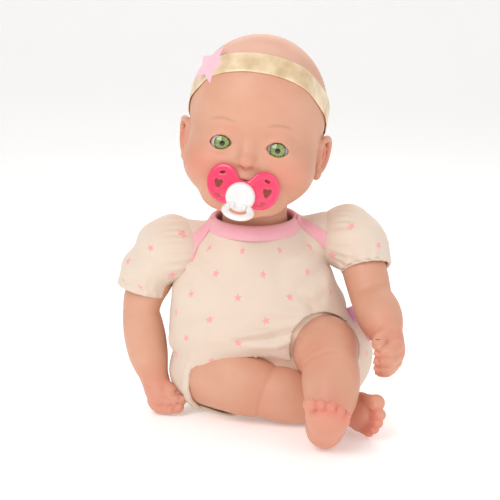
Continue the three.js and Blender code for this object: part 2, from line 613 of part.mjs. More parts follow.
// A point or direction of the doll's frame in the head's own frame.
const toHead = (p) => p.clone().sub(headCentre).applyEuler(new THREE.Euler().copy(headRotation)
  .setFromRotationMatrix(new THREE.Matrix4().makeRotationFromEuler(headRotation).invert()));
const toHeadDirection = (d) => toHead(d.clone().add(headCentre));

function headForm(grow, detail = 18) {
  const big = (half) => half.clone().addScalar(grow);
  return union(
    ellipsoid(skull.at, big(skull.half), detail),
    ellipsoid(jaw.at, big(jaw.half), Math.round(detail * 0.8)),
    ellipsoid(cheek.at, big(cheek.half), 10),
    ellipsoid(mirrored(cheek.at), big(cheek.half), 10));
}

function headPieces() {
  const pivot = toHead(neckPivot);
  const down = toHeadDirection(V(0, 0, -1));
  const neckTop = pivot.clone().addScaledVector(down, -24);
  const outside = union(
    headForm(0), ellipsoid(nose.at, nose.half, 8),
    ...[1, -1].map((s) => ellipsoid(s > 0 ? ear.at : mirrored(ear.at), ear.half, 10,
      new THREE.Euler(0, s * degrees(ear.lean), 0))),
    turned([[0, neckRadius - 1], [24 + neckLength, neckRadius]], neckTop, down, 22));
  const bore = turned([[0, neckRadius - vinylWall], [26 + neckLength, neckRadius - vinylWall]],
    neckTop, down, 22);
  const cups = [eyeAt, mirrored(eyeAt)].map((p) => ball(p, eyeRadius + gap, 14));
  const mouth = turned([[-14, mouthRadius], [20, mouthRadius]], mouthAt, V(0, -1, 0), 16);
  add(headGroup, "head_shell", cut(outside, headForm(-vinylWall, 14), bore, ...cups, mouth), skin);

  const inside = headForm(-vinylWall - gap, 14);
  for (const [side, at] of [["right", mirrored(eyeAt)], ["left", eyeAt]]) {
    add(headGroup, `${side}_eye`, ball(at, eyeRadius, 14), eyeGreen);
    const cup = cut(ball(at, eyeRadius + gap + 1.4, 12), ball(at, eyeRadius + gap, 14),
      placed(new THREE.BoxGeometry(60, 60, 60), V(at.x, at.y - 30 + 2, at.z))).intersect(inside);
    add(headGroup, `${side}_eye_cup`, cup, whitePlastic);
  }

  const socket = turned([[-12, mouthRadius + 1.6], [-3, mouthRadius + 1.6]], mouthAt, V(0, -1, 0), 16);
  const socketBore = turned([[-14, mouthRadius], [0, mouthRadius]], mouthAt, V(0, -1, 0), 16);
  add(headGroup, "mouth_socket", cut(socket.intersect(inside), socketBore), whitePlastic);
}

function headbandPieces() {
  const lean = degrees(bandLean);
  const up = V(0, Math.sin(lean), Math.cos(lean));
  const slice = (half) => turned([[-half, 90], [half, 90]], skull.at, up, 24);
  const band = cut(
    headForm(bandEase + bandThick), headForm(bandEase)).intersect(slice(bandWidth / 2));
  const earRoom = [ear.at, mirrored(ear.at)].map((p) => ellipsoid(p, ear.half.clone().addScalar(bandEase), 12));
  add(headGroup, "headband", cut(band, ...earRoom), goldSatin);
}

function starShape() {
  const star = new THREE.Shape();
  for (let i = 0; i < 10; i++) {
    const r = i % 2 ? starRadius * starInner : starRadius;
    const a = (i * Math.PI) / 5;
    if (i) star.lineTo(r * Math.sin(a), r * Math.cos(a));
    else star.moveTo(0, r);
  }
  return star.closePath();
}

function starPiece() {
  const out = V(-0.62, -0.6, 0.5).normalize();
  const ray = V(out.x * skull.half.x, out.y * skull.half.y, out.z * skull.half.z).add(skull.at);
  const g = new THREE.ExtrudeGeometry(starShape(), { depth: starThick, bevelEnabled: false });
  const q = new THREE.Quaternion().setFromUnitVectors(V(0, 0, 1), out);
  g.applyQuaternion(q).translate(ray.x + out.x * 2.2, ray.y + out.y * 2.2, ray.z + out.z * 2.2);
  add(headGroup, "headband_star", cut(solid(g), headForm(gap * 3 + bandThick)), felt);
}

// ---------- pacifier ----------
const pacifier = new THREE.Group();
const pacifierFace = 4.5; // from the mouth's centre to the shield's back
pacifier.position.copy(mouthAt);
headGroup.add(pacifier);

function shieldOutline() {
  const { width, height, notch } = shield;
  const [w, h] = [width / 2, height / 2];
  const s = new THREE.Shape();
  s.moveTo(0, h - notch);
  s.bezierCurveTo(w * 0.3, h - notch, w * 0.35, h, w * 0.62, h);
  s.bezierCurveTo(w * 0.88, h, w, h * 0.55, w, 0);
  s.bezierCurveTo(w, -h * 0.6, w * 0.8, -h, w * 0.5, -h);
  s.bezierCurveTo(w * 0.3, -h, w * 0.2, -h + notch * 0.5, 0, -h + notch * 0.5);
  s.bezierCurveTo(-w * 0.2, -h + notch * 0.5, -w * 0.3, -h, -w * 0.5, -h);
  s.bezierCurveTo(-w * 0.8, -h, -w, -h * 0.6, -w, 0);
  s.bezierCurveTo(-w, h * 0.55, -w * 0.88, h, -w * 0.62, h);
  s.bezierCurveTo(-w * 0.35, h, -w * 0.3, h - notch, 0, h - notch);
  return s;
}

function pacifierPieces() {
  const outward = V(0, -1, 0);
  const plate = new THREE.ExtrudeGeometry(shieldOutline(),
    { depth: 40, bevelEnabled: false, curveSegments: 5 });
  plate.rotateX(Math.PI / 2).rotateY(degrees(shield.roll)).translate(0, 10, 0);
  const bendAt = V(0, shield.curve - pacifierFace, 0);
  const bend = (radius) => turned([[-40, radius], [40, radius]], bendAt, V(0, 0, 1), 48);
  const clearStem = turned([[-20, teat.neck + gap], [20, teat.neck + gap]], V(0, 0, 0), outward);
  const vents = [[0.66, 0.04, 2.4], [0.56, 0.55, 1.1], [0.6, -0.5, 1]].flatMap(([x, z, r]) =>
    [1, -1].map((s) => turned([[-20, r], [20, r]],
      V(s * x * shield.width / 2, 0, z * shield.height / 2), outward, 10)));
  const shieldSolid = cut(solid(plate).intersect(bend(shield.curve + shield.thick)),
    bend(shield.curve), clearStem, ...vents);
  add(pacifier, "pacifier_shield", shieldSolid, hotPink);

  const front = pacifierFace + shield.thick;
  add(pacifier, "pacifier_teat", union(
    turned([[-6, teat.neck], [front - 0.2, teat.neck]], V(0, 0, 0), outward),
    ellipsoid(V(0, 6, 0), V(teat.bulb, 8, teat.bulb - 0.6), 14)), whitePlastic);

  const knobAt = V(0, 0, -knob.drop);
  const k = [];
  for (let i = 0; i <= 5; i++) {
    const a = (i / 5) * (Math.PI / 2);
    k.push([front + gap + 2 + (knob.height - 2) * Math.sin(a), Math.max(knob.radius * Math.cos(a), 0.02)]);
  }
  const knobSolid = turned([[front + gap, knob.radius - 0.8], [front + gap + 0.8, knob.radius], ...k],
    knobAt, outward);

  const droop = degrees(ring.droop);
  const ringOut = V(0, -Math.cos(droop), -Math.sin(droop));
  const hinge = V(0, -(front + gap + knob.height * 0.55), -knob.drop - knob.radius + 3.2);
  const ringAt = hinge.clone().addScaledVector(ringOut, ring.outer - ring.bar);
  const torus = new THREE.TorusGeometry(ring.outer - ring.bar / 2, ring.bar / 2, 6, 18);
  torus.scale(1, 1, 1.1).rotateX(-droop);
  const ringSolid = placed(torus, ringAt);
  add(pacifier, "pacifier_ring", ringSolid, whitePlastic);
  const ringRoom = placed(new THREE.TorusGeometry(ring.outer - ring.bar / 2, ring.bar / 2 + runningGap, 6, 14)
    .scale(1, 1, 1.1).rotateX(-droop), ringAt);
  add(pacifier, "pacifier_knob", cut(knobSolid, ringRoom), whitePlastic);
}

soundBoxPieces();
bodyPieces();
neckPieces();
suitPieces();
for (const side of sides) {
  armPieces(side);
  legPieces(side);
}
headPieces();
headbandPieces();
starPiece();
pacifierPieces();

export default doll;
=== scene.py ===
"""A seated baby doll: vinyl head, arms and legs, a printed bodysuit, a headband and a pacifier.

Shapes are worked out in millimetres in the frame of the CAD model and become meshes in metres.
"""
import math

import bpy
import numpy as np
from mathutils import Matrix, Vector


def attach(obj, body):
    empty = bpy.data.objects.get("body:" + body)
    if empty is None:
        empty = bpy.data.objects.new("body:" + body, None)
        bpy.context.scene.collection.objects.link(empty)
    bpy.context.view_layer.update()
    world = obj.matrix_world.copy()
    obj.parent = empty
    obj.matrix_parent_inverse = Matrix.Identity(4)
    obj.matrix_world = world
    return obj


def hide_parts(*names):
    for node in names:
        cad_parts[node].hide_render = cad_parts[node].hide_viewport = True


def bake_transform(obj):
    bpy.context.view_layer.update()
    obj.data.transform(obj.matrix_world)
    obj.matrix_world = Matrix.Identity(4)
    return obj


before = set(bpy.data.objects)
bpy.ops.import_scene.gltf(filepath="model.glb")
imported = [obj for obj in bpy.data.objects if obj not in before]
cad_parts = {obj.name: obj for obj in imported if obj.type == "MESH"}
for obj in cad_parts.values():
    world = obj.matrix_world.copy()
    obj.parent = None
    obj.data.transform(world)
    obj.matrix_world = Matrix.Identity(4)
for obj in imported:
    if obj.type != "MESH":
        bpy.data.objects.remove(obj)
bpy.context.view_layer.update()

MM = 0.001


# ---------- clay: shapes as distances on a grid, and the surface where the distance is zero ----------
def array(*values):
    return np.array(values, float)


def unit(v):
    v = np.array(v, float)
    return v / np.linalg.norm(v)


def turn(axis, degrees):
    """The matrix that turns about x, y or z."""
    c, s = math.cos(math.radians(degrees)), math.sin(math.radians(degrees))
    i, j = {"x": (1, 2), "y": (2, 0), "z": (0, 1)}[axis]
    m = np.eye(3)
    m[i, i], m[i, j], m[j, i], m[j, j] = c, -s, s, c
    return m


def blob(centre, half, matrix=None):
    """An ellipsoid, turned by a matrix."""
    centre, half = array(*centre), array(*half)
    reach = half.max() if matrix is not None else half

    def distance(x, y, z):
        x, y, z = x - centre[0], y - centre[1], z - centre[2]
        if matrix is not None:
            m = matrix
            x, y, z = (m[0, k] * x + m[1, k] * y + m[2, k] * z for k in range(3))
        a = np.sqrt((x / half[0]) ** 2 + (y / half[1]) ** 2 + (z / half[2]) ** 2)
        b = np.sqrt((x / half[0] ** 2) ** 2 + (y / half[1] ** 2) ** 2 + (z / half[2] ** 2) ** 2)
        return np.where(a < 0.1, -half.min(), a * (a - 1) / np.maximum(b, 1e-6))

    return distance, centre - reach, centre + reach


def rod(a, b, ra, rb=None):
    """A round rod from a to b whose radius goes from ra to rb."""
    a, b = array(*a), array(*b)
    rb = ra if rb is None else rb
    way = b - a
    length2 = max(way @ way, 1e-9)
    big = max(ra, rb)

    def distance(x, y, z):
        x, y, z = x - a[0], y - a[1], z - a[2]
        t = np.clip((x * way[0] + y * way[1] + z * way[2]) / length2, 0, 1)
        far = np.sqrt((x - t * way[0]) ** 2 + (y - t * way[1]) ** 2 + (z - t * way[2]) ** 2)
        return far - (ra + t * (rb - ra))

    return distance, np.minimum(a, b) - big, np.maximum(a, b) + big


def chain(stations, per=4):
    """Short rods along a smooth curve through [x, y, z, radius] stations."""
    s = np.array(stations, float)
    padded = np.vstack([2 * s[0] - s[1], s, 2 * s[-1] - s[-2]])
    points = []
    for i in range(1, len(padded) - 2):
        p0, p1, p2, p3 = padded[i - 1 : i + 3]
        for t in np.arange(per) / per:
            points.append(
                0.5 * (2 * p1 + (p2 - p0) * t + (2 * p0 - 5 * p1 + 4 * p2 - p3) * t**2
                       + (3 * p1 - p0 - 3 * p2 + p3) * t**3)
            )
    points.append(s[-1])
    return [rod(p[:3], q[:3], p[3], q[3]) for p, q in zip(points, points[1:])]


def together(shapes, blend=0.0):
    """Several shapes as one."""
    lows, highs = [s[1] for s in shapes], [s[2] for s in shapes]

    def distance(x, y, z):
        d = shapes[0][0](x, y, z)
        for s in shapes[1:]:
            d = soft_min(d, s[0](x, y, z), blend)
        return d

    return distance, np.min(lows, axis=0), np.max(highs, axis=0)


def slab(low, high, height, above=False):
    """The part of a block of space below a height, or above it."""
    sign = -1 if above else 1
    return lambda x, y, z: sign * (z - height) + 0 * x + 0 * y, array(*low), array(*high)


def soft_min(a, b, k):
    """The smaller of two distances, rounded over k where they are close."""
    if k <= 0:
        return np.minimum(a, b)
    h = np.clip(0.5 + 0.5 * (a - b) / k, 0, 1)
    return a + h * (b - a) - k * h * (1 - h)


class Clay:
    """A block of space with a distance at each grid point."""

    def __init__(self, low, high, step):
        self.low, self.step = array(*low), step
        self.count = np.ceil((array(*high) - self.low) / step).astype(int) + 1
        self.axes = [self.low[k] + step * np.arange(self.count[k]) for k in range(3)]
        self.d = np.full(self.count, 50.0, np.float32)

    def copy(self):
        twin = Clay.__new__(Clay)
        twin.__dict__.update(self.__dict__)
        twin.d = self.d.copy()
        return twin

    def block(self, low, high, margin):
        first = np.clip(np.floor((low - margin - self.low) / self.step).astype(int), 0, self.count - 1)
        last = np.clip(np.ceil((high + margin - self.low) / self.step).astype(int) + 1, 1, self.count)
        where = tuple(slice(a, b) for a, b in zip(first, last))
        x, y, z = (self.axes[k][where[k]].astype(np.float32) for k in range(3))
        return where, x[:, None, None], y[None, :, None], z[None, None, :]

    def add(self, shape, blend=0.0):
        where, x, y, z = self.block(shape[1], shape[2], blend + 2 * self.step)
        self.d[where] = soft_min(self.d[where], shape[0](x, y, z), blend)

    def cut(self, shape, blend=0.0):
        where, x, y, z = self.block(shape[1], shape[2], blend + 2 * self.step)
        self.d[where] = -soft_min(-self.d[where], shape[0](x, y, z), blend)

    def crease(self, point, normal, depth, width, reach):
        """A soft groove where a plane meets the surface, fading out at reach from the point."""
        point, normal = array(*point), unit(normal)
        where, x, y, z = self.block(point, point, reach)
        x, y, z = x - point[0], y - point[1], z - point[2]
        across = x * normal[0] + y * normal[1] + z * normal[2]
        far = np.sqrt(x * x + y * y + z * z) / reach
        fade = np.clip(1 - far, 0, 1)
        fade = fade * fade * (3 - 2 * fade)
        self.d[where] += depth * np.exp(-((across / width) ** 2)) * fade

    def at(self, points):
        """The distance at any points, between grid values."""
        g = (np.asarray(points) - self.low) / self.step
        g = np.clip(g, 0, self.count - 1.001)
        i = np.floor(g).astype(int)
        f = g - i
        total = 0
        for a in (0, 1):
            for b in (0, 1):
                for c in (0, 1):
                    w = (f[..., 0] if a else 1 - f[..., 0]) * (f[..., 1] if b else 1 - f[..., 1])
                    w = w * (f[..., 2] if c else 1 - f[..., 2])
                    total = total + w * self.d[i[..., 0] + a, i[..., 1] + b, i[..., 2] + c]
        return total

    def surface(self, rounds=3, level=0.0):
        """Points and four-sided faces of the surface at a distance, by the surface-net method."""
        d, n = self.d - level, self.count
        places, owners, quads = [], [], []
        for axis in range(3):
            b, c = (axis + 1) % 3, (axis + 2) % 3
            below = tuple(slice(0, -1) if k == axis else slice(None) for k in range(3))
            above = tuple(slice(1, None) if k == axis else slice(None) for k in range(3))
            ijk = np.argwhere((d[below] < 0) != (d[above] < 0))
            inner = (ijk[:, b] > 0) & (ijk[:, c] > 0) & (ijk[:, b] < n[b] - 1) & (ijk[:, c] < n[c] - 1)
            ijk = ijk[inner]
            v0, v1 = d[below][tuple(ijk.T)], d[above][tuple(ijk.T)]
            p = ijk.astype(float)
            p[:, axis] += v0 / (v0 - v1)
            corners = []
            for db, dc in ((-1, -1), (0, -1), (0, 0), (-1, 0)):
                cell = ijk.copy()
                cell[:, b] += db
                cell[:, c] += dc
                corners.append(np.ravel_multi_index(cell.T, n - 1))
                places.append(p)
            owners += corners
            quad = np.stack(corners, 1)
            quad[v0 >= 0] = quad[v0 >= 0][:, ::-1]
            quads.append(quad)
        owners, places, quads = np.concatenate(owners), np.concatenate(places), np.concatenate(quads)
        names, inverse = np.unique(owners, return_inverse=True)
        counts = np.bincount(inverse)
        points = np.stack([np.bincount(inverse, weights=places[:, k]) / counts for k in range(3)], 1)
        faces = np.searchsorted(names, quads)
        return relax(self.low + points * self.step, faces, rounds), faces


def neighbours(faces):
    edges = np.concatenate([faces[:, [k, (k + 1) % faces.shape[1]]] for k in range(faces.shape[1])])
    return np.unique(np.sort(edges, 1), axis=0)


def relax(points, faces, rounds, pull=0.5, held=None):
    """Evens the surface out; every other round pushes back, so that it doesn't shrink."""
    e = neighbours(faces)
    size = len(points)
    degree = np.bincount(e.ravel(), minlength=size)[:, None]
    for i in range(2 * rounds):
        total = np.stack(
            [np.bincount(e[:, 0], points[e[:, 1], k], size) + np.bincount(e[:, 1], points[e[:, 0], k], size)
             for k in range(3)], 1)
        move = (total / np.maximum(degree, 1) - points) * (pull if i % 2 == 0 else -pull * 0.96)
        if held is not None:
            move[held] = 0
        points = points + move
    return points


def mesh_object(name, points, faces, material, smooth=True, **layers):
    """A mesh from points in millimetres; layers are values per point that the material reads."""
    mesh = bpy.data.meshes.new(name)
    mesh.from_pydata((np.asarray(points) * MM).tolist(), [], [list(map(int, f)) for f in faces])
    mesh.polygons.foreach_set("use_smooth", [smooth] * len(mesh.polygons))
    for layer, values in layers.items():
        mesh.attributes.new(layer, "FLOAT", "POINT").data.foreach_set("value", np.asarray(values, np.float32))
    mesh.materials.append(material)
    mesh.update()
    obj = bpy.data.objects.new(name, mesh)
    bpy.context.scene.collection.objects.link(obj)
    return obj


def near(points, centre, radius, power=2.0):
    """1 at the centre, falling smoothly to 0 at the radius (which may differ by axis)."""
    far = np.linalg.norm((points - array(*centre)) / radius, axis=1)
    return np.clip(1 - far, 0, 1) ** power


# ---------- materials ----------
def linear(r, g, b):
    return tuple(((c / 255 + 0.055) / 1.055) ** 2.4 if c > 10 else c / 255 / 12.92 for c in (r, g, b)) + (1,)


class Shader:
    """A node material, built up by short calls."""

    def __init__(self, name, **sockets):
        self.material = bpy.data.materials.new(name)
        self.material.use_nodes = True
        self.tree = self.material.node_tree
        self.skin = self.tree.nodes["Principled BSDF"]
        self.place = self.node("ShaderNodeTexCoord").outputs["Object"]
        for key, value in sockets.items():
            self.skin.inputs[key.replace("_", " ")].default_value = value

    def node(self, kind, inputs=None, **settings):
        made = self.tree.nodes.new(kind)
        for key, value in settings.items():
            setattr(made, key, value)
        for key, value in (inputs or {}).items():
            if isinstance(value, bpy.types.NodeSocket):
                self.tree.links.new(value, made.inputs[key])
            else:
                made.inputs[key].default_value = value
        return made

    def math(self, operation, a, b=0.0, c=0.0, clamp=False):
        inputs = {0: a, 1: b, 2: c}
        return self.node("ShaderNodeMath", inputs, operation=operation, use_clamp=clamp).outputs[0]

    def layer(self, name):
        return self.node("ShaderNodeAttribute", attribute_name=name).outputs["Fac"]

    def noise(self, scale, detail=3.0, rough=0.55, place=None):
        inputs = {"Vector": place or self.place, "Scale": scale, "Detail": detail, "Roughness": rough}
        return self.node("ShaderNodeTexNoise", inputs).outputs["Fac"]

    def spread(self, value, low, high, to_low=0.0, to_high=1.0):
        inputs = {0: value, 1: low, 2: high, 3: to_low, 4: to_high}
        return self.node("ShaderNodeMapRange", inputs).outputs[0]

    def mix(self, factor, a, b, blend="MIX"):
        made = self.node("ShaderNodeMix", data_type="RGBA", blend_type=blend)
        for socket, value in ((made.inputs[0], factor), (made.inputs[6], a), (made.inputs[7], b)):
            if isinstance(value, bpy.types.NodeSocket):
                self.tree.links.new(value, socket)
            else:
                socket.default_value = value
        return made.outputs[2]

    def set(self, **sockets):
        for key, value in sockets.items():
            self.tree.links.new(value, self.skin.inputs[key.replace("_", " ")])
        return self

    def bump(self, height, strength, distance, on=None):
        made = self.node("ShaderNodeBump", {"Height": height, "Strength": strength, "Distance": distance})
        if on is not None:
            self.tree.links.new(on, made.inputs["Normal"])
        return made.outputs["Normal"]


def vinyl_skin(name):
    """Soft matte vinyl: a peach base, sprayed blush, a darker layer of painted shade in the nostrils and
    along the upper lids (which also gives the heels a deeper tint), painted brows and lips, and a fine grain.
    """
    s = Shader(name, Roughness=0.5, Subsurface_Weight=0.12, Subsurface_Scale=0.004, Coat_Weight=0.04,
               Coat_Roughness=0.45)
    s.skin.inputs["Subsurface Radius"].default_value = (1.0, 0.45, 0.3)
    base = s.mix(s.spread(s.noise(28), 0.35, 0.65), linear(212, 154, 127), linear(218, 164, 137))
    colour = s.mix(s.layer("blush"), base, linear(224, 122, 106))
    # painted shade: the deep layer darkens the nostrils and the upper lid edge; at the heels it gives a
    # deeper tint
    colour = s.mix(s.layer("deep"), colour, linear(196, 110, 84))
    colour = s.mix(s.layer("brow"), colour, linear(176, 128, 98))
    colour = s.mix(s.layer("lips"), colour, linear(226, 120, 116))
    s.set(Base_Color=colour)
    s.set(Roughness=s.spread(s.noise(60), 0.3, 0.7, 0.46, 0.56))
    fine = s.bump(s.noise(1400, 2), 0.12, 0.0002)
    s.set(Normal=s.bump(s.noise(240, 3), 0.10, 0.0005, fine))
    return s.material


SKIN = vinyl_skin("vinyl_skin")


# ---------- the head ----------
HEAD_CENTRE = array(-3, 0, 190)
HEAD_MATRIX = turn("z", -5) @ turn("y", 7.5) @ turn("x", -3)
NECK_PIVOT = array(-5, 2, 119)
NECK_RADIUS = 20.6
EYE = array(17, -33, -17)
EYE_RADIUS = 9.5
MOUTH = array(0, -44, -42)
MOUTH_RADIUS = 4.9


def from_head(points):
    return points @ HEAD_MATRIX.T + HEAD_CENTRE


def to_head(point):
    return (array(*point) - HEAD_CENTRE) @ HEAD_MATRIX


def eye_opening(side):
    """The lens-shaped gap between the lids, from the front through to the eyeball."""
    wide, above, below = 6.9, 4.7, 3.9
    centre = EYE * array(side, 1, 1) + array(side * 0.4, 0, 0)
    tilt = math.radians(-4 * side)

    def distance(x, y, z):
        u, w = x - centre[0], z - centre[2]
        u, w = u * math.cos(tilt) + w * math.sin(tilt), w * math.cos(tilt) - u * math.sin(tilt)
        radii = [(wide**2 + h**2) / (2 * h) for h in (above, below)]
        upper = np.sqrt(u**2 + (w + radii[0] - above) ** 2) - radii[0]
        lower = np.sqrt(u**2 + (w - radii[1] + below) ** 2) - radii[1]
        return np.maximum(np.maximum(upper, lower), y - (centre[1] - 3))

    return distance, centre - array(8, 20, 6), centre + array(8, 0, 6)


def ear_shapes(side):
    def p(x, y, z):
        return (side * x, y, z)

    rim = [p(41.0, -4.5, -14), p(43.6, -2.5, -10.6), p(45.6, 2.5, -9.8), p(46.6, 7.6, -13.4),
           p(46.4, 9.6, -20), p(45.4, 8.2, -26), p(43.6, 5, -31)]
    outer = chain([(*q, 1.75) for q in rim], 3)
    inner = chain([(*p(43.6, 5.6, -15), 1.3), (*p(44, 5.6, -20.5), 1.5), (*p(42.8, 3.4, -26), 1.5)], 3)
    plate = blob(p(41.8, 2, -20), (3.2, 7.2, 11))
    lobe = blob(p(41.6, 0.6, -32), (3.2, 4, 4.6))
    tragus = blob(p(41.8, -4.2, -23.5), (2.1, 1.8, 2.6))
    return outer, inner, plate, lobe, tragus


def make_head():
    clay = Clay((-52, -58, -86), (52, 56, 54), 0.85)
    clay.add(blob((0, 2, 3), (43, 48, 46.5)))
    clay.add(blob((0, -13, -28), (40.5, 33, 33)), 9)
    clay.add(blob((0, -28, 14), (29, 17, 22)), 12)
    clay.add(blob((0, 24, -18), (33, 24, 26)), 12)
    for side in (-1, 1):
        clay.add(blob((side * 22, -24.5, -31), (17, 18, 15.5)), 8)
        clay.add(blob((side * 13, -32, -50), (12, 10, 9)), 9)
        clay.cut(blob((side * 17.5, -50, -15.5), (12.5, 8.2, 8.5)), 5)
        clay.cut(blob((side * 6.5, -51, -15), (4, 4.5, 6)), 4)
    clay.add(blob((0, -34, -55), (10.5, 8, 7.5)), 6)
    clay.add(rod((0, -41, -12), (0, -44.5, -22), 3.2, 4.0), 4)
    clay.add(blob((0, -46.6, -25.6), (5.2, 4.6, 4.3)), 3)
    for side in (-1, 1):
        clay.add(blob((side * 5.2, -43.8, -27), (3.1, 3.2, 2.7)), 1.8)
        clay.cut(blob((side * 2.7, -47.6, -29.6), (1.25, 2.0, 1.0)), 0.9)
    clay.add(blob((0, -43, -36.6), (9, 4.2, 3.4)), 3)
    clay.add(blob((0, -42.2, -47.6), (8, 4.4, 3.2)), 3)
    clay.cut(rod(MOUTH + array(0, 14, 0), MOUTH - array(0, 12, 0), MOUTH_RADIUS), 1.6)
    for side in (-1, 1):
        clay.cut(rod(MOUTH + array(0, -2, 0.4), MOUTH + array(side * 9.5, 0.6, 0.8), 1.3, 0.4), 1.4)
        lid = EYE * array(side, 1, 1)
        clay.add(blob(lid, (EYE_RADIUS + 1.6,) * 3), 3.2)
        clay.crease(lid + array(0, -8.4, 6.8), (0, 0.35, 1), 0.3, 0.7, 9)
        clay.crease(lid + array(0, -8, -6.6), (0, -0.3, 1), 0.4, 0.9, 8)
        clay.cut(eye_opening(side), 0.5)
        clay.cut(blob(lid, (EYE_RADIUS + 0.12,) * 3), 0.2)
        outer, inner, plate, lobe, tragus = ear_shapes(side)
        clay.add(plate, 2.5)
        clay.cut(blob((side * 45.4, 0.8, -21.5), (3.6, 4.6, 7.6)), 1.4)
        for shape in outer:
            clay.add(shape, 1.0)
        for shape in inner:
            clay.add(shape, 0.9)
        clay.add(lobe, 1.8)
        clay.add(tragus, 1.2)
    pivot = to_head(NECK_PIVOT)
    down = np.array([0, 0, -1.0]) @ HEAD_MATRIX
    clay.add(rod(pivot - down * 26, pivot + down * 1, NECK_RADIUS, NECK_RADIUS), 7)
    clay.crease(pivot - down * 8, down, 0.7, 1.6, 40)
    points, faces = clay.surface(2)
    blush = 0.62 * sum(near(points, (side * 25, -36, -31), array(21, 30, 17), 1.3) for side in (-1, 1))
    blush += 0.35 * near(points, (0, -50, -26), array(9, 9, 8), 1.2)
    blush += 0.5 * sum(near(points, (side * 45, 3, -22), array(8, 14, 17), 1.0) for side in (-1, 1))
    blush += 0.3 * near(points, (0, -40, -56), array(14, 14, 12), 1.2)
    blush += 0.25 * sum(near(points, (side * 17, -42, -8), array(13, 12, 6), 1.2) for side in (-1, 1))
    lips = 0.85 * near(points, MOUTH + array(0, 0, 0.3), array(11.5, 9, 7.4), 0.6)
    # painted shade: darker inside the carved nostrils and along the upper lid edges
    deep = 0.45 * sum(near(points, (side * 2.7, -48, -29.6), array(2.6, 4, 2.2), 0.8) for side in (-1, 1))
    deep += sum(lid_shadow(points, side) for side in (-1, 1))
    brow = sum(brow_paint(points, side) for side in (-1, 1))
    layers = {"blush": blush, "lips": lips, "deep": deep, "brow": brow}
    head = mesh_object("head_vinyl", from_head(points), faces, SKIN, **layers)
    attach(head, "head")
    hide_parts("head_shell")
    return clay


def lid_shadow(points, side):
    """A thin darker line along the upper lid's edge."""
    centre = EYE * array(side, 1, 1) + array(side * 0.4, 0, 0)
    u, w = points[:, 0] - centre[0], points[:, 2] - centre[2]
    arc = 4.7 * (1 - (u / 7.2) ** 2)
    line = np.exp(-((w - arc - 0.1) / 0.75) ** 2) * (np.abs(u) < 7.4) * (points[:, 1] < -36)
    return 0.5 * line


def brow_paint(points, side):
    centre = array(side * 17.5, -40, -3.6)
    u, w = (points[:, 0] - centre[0]) * side, points[:, 2] - centre[2]
    arc = 1.7 * (1 - ((u - 0.5) / 8) ** 2) - 0.06 * u
    along = np.clip(1 - np.abs(u / 8.6) ** 3, 0, 1)
    return 0.5 * along * np.exp(-((w - arc) / 0.8) ** 2) * (points[:, 1] < -25)


def make_eyes():
    """Glossy domed eyes: pupil, streaked green iris, dark rim, and a white that greys towards the lids as
    painted lid shade.
    """
    s = Shader("eye_gloss", Roughness=0.06, Coat_Weight=1.0, Coat_Roughness=0.02, Specular_IOR_Level=0.6)
    ring = s.layer("ring")
    streaks = s.node("ShaderNodeTexNoise", {"Scale": 900.0, "Detail": 4.0, "Vector": s.place}).outputs["Fac"]
    spoke = s.math("ADD", s.layer("spoke"), s.math("MULTIPLY", streaks, 0.5))
    green = s.mix(s.spread(spoke, 0.3, 1.1), linear(70, 100, 44), linear(150, 172, 92))
    inner = s.mix(s.spread(ring, 0.32, 0.52), linear(128, 144, 66), green)
    rim = s.mix(s.spread(ring, 0.72, 0.92), inner, linear(52, 74, 44))
    iris = s.mix(s.spread(ring, 0.27, 0.33), linear(6, 6, 6), rim)
    # painted shade: the white darkens towards the lids
    white = s.mix(s.spread(ring, 1.0, 1.5), linear(214, 206, 200), linear(160, 138, 128))
    s.set(Base_Color=s.mix(s.spread(ring, 0.93, 1.04), iris, white))
    for name, side in (("right", -1), ("left", 1)):
        rows, around = 64, 96
        a = np.linspace(0, math.pi, rows + 1)[1:-1]
        b = np.arange(around) * 2 * math.pi / around
        radius = EYE_RADIUS * (1 + 0.035 * np.exp(-((a / 0.42) ** 2)))
        ball = np.stack([
            (radius * np.sin(a))[:, None] * np.cos(b), np.repeat(-(radius * np.cos(a))[:, None], around, 1),
            (radius * np.sin(a))[:, None] * np.sin(b)], -1).reshape(-1, 3)
        front = EYE_RADIUS * 1.035
        ball = np.vstack([ball, [[0, -front, 0], [0, EYE_RADIUS, 0]]])
        angle = np.concatenate([np.repeat(a, around), [0, math.pi]])
        rays = 0.5 + 0.28 * np.sin(b * 17 + 1.7 * np.sin(b * 5))
        spoke = np.concatenate([np.tile(rays, len(a)), [0.5, 0.5]])
        faces = [[r * around + i, (r + 1) * around + i, (r + 1) * around + (i + 1) % around,
                  r * around + (i + 1) % around] for r in range(len(a) - 1) for i in range(around)]
        last = (len(a) - 1) * around
        faces += [[len(ball) - 2, i, (i + 1) % around] for i in range(around)]
        faces += [[len(ball) - 1, last + (i + 1) % around, last + i] for i in range(around)]
        look = turn("z", 4) @ turn("x", 1)
        points = from_head(ball @ look.T + EYE * array(side, 1, 1))
        obj = mesh_object(f"{name}_eye_ball", points, faces, s.material, ring=angle / 0.57, spoke=spoke)
        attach(obj, "head")
        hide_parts(f"{name}_eye")


# ---------- arms ----------
def arm_layers(points, tips, palm):
    blush = 0.5 * near(points, palm, 24, 1.0)
    for tip in tips:
        blush += 0.35 * near(points, tip, 6.5, 1.0)
    return {"blush": np.clip(blush, 0, 0.75), "deep": 0 * blush, "brow": 0 * blush, "lips": 0 * blush}


def level_with(way, ahead):
    """The direction nearest to a way that is square to another."""
    way = np.array(way, float)
    return unit(way - ahead * (way @ ahead))


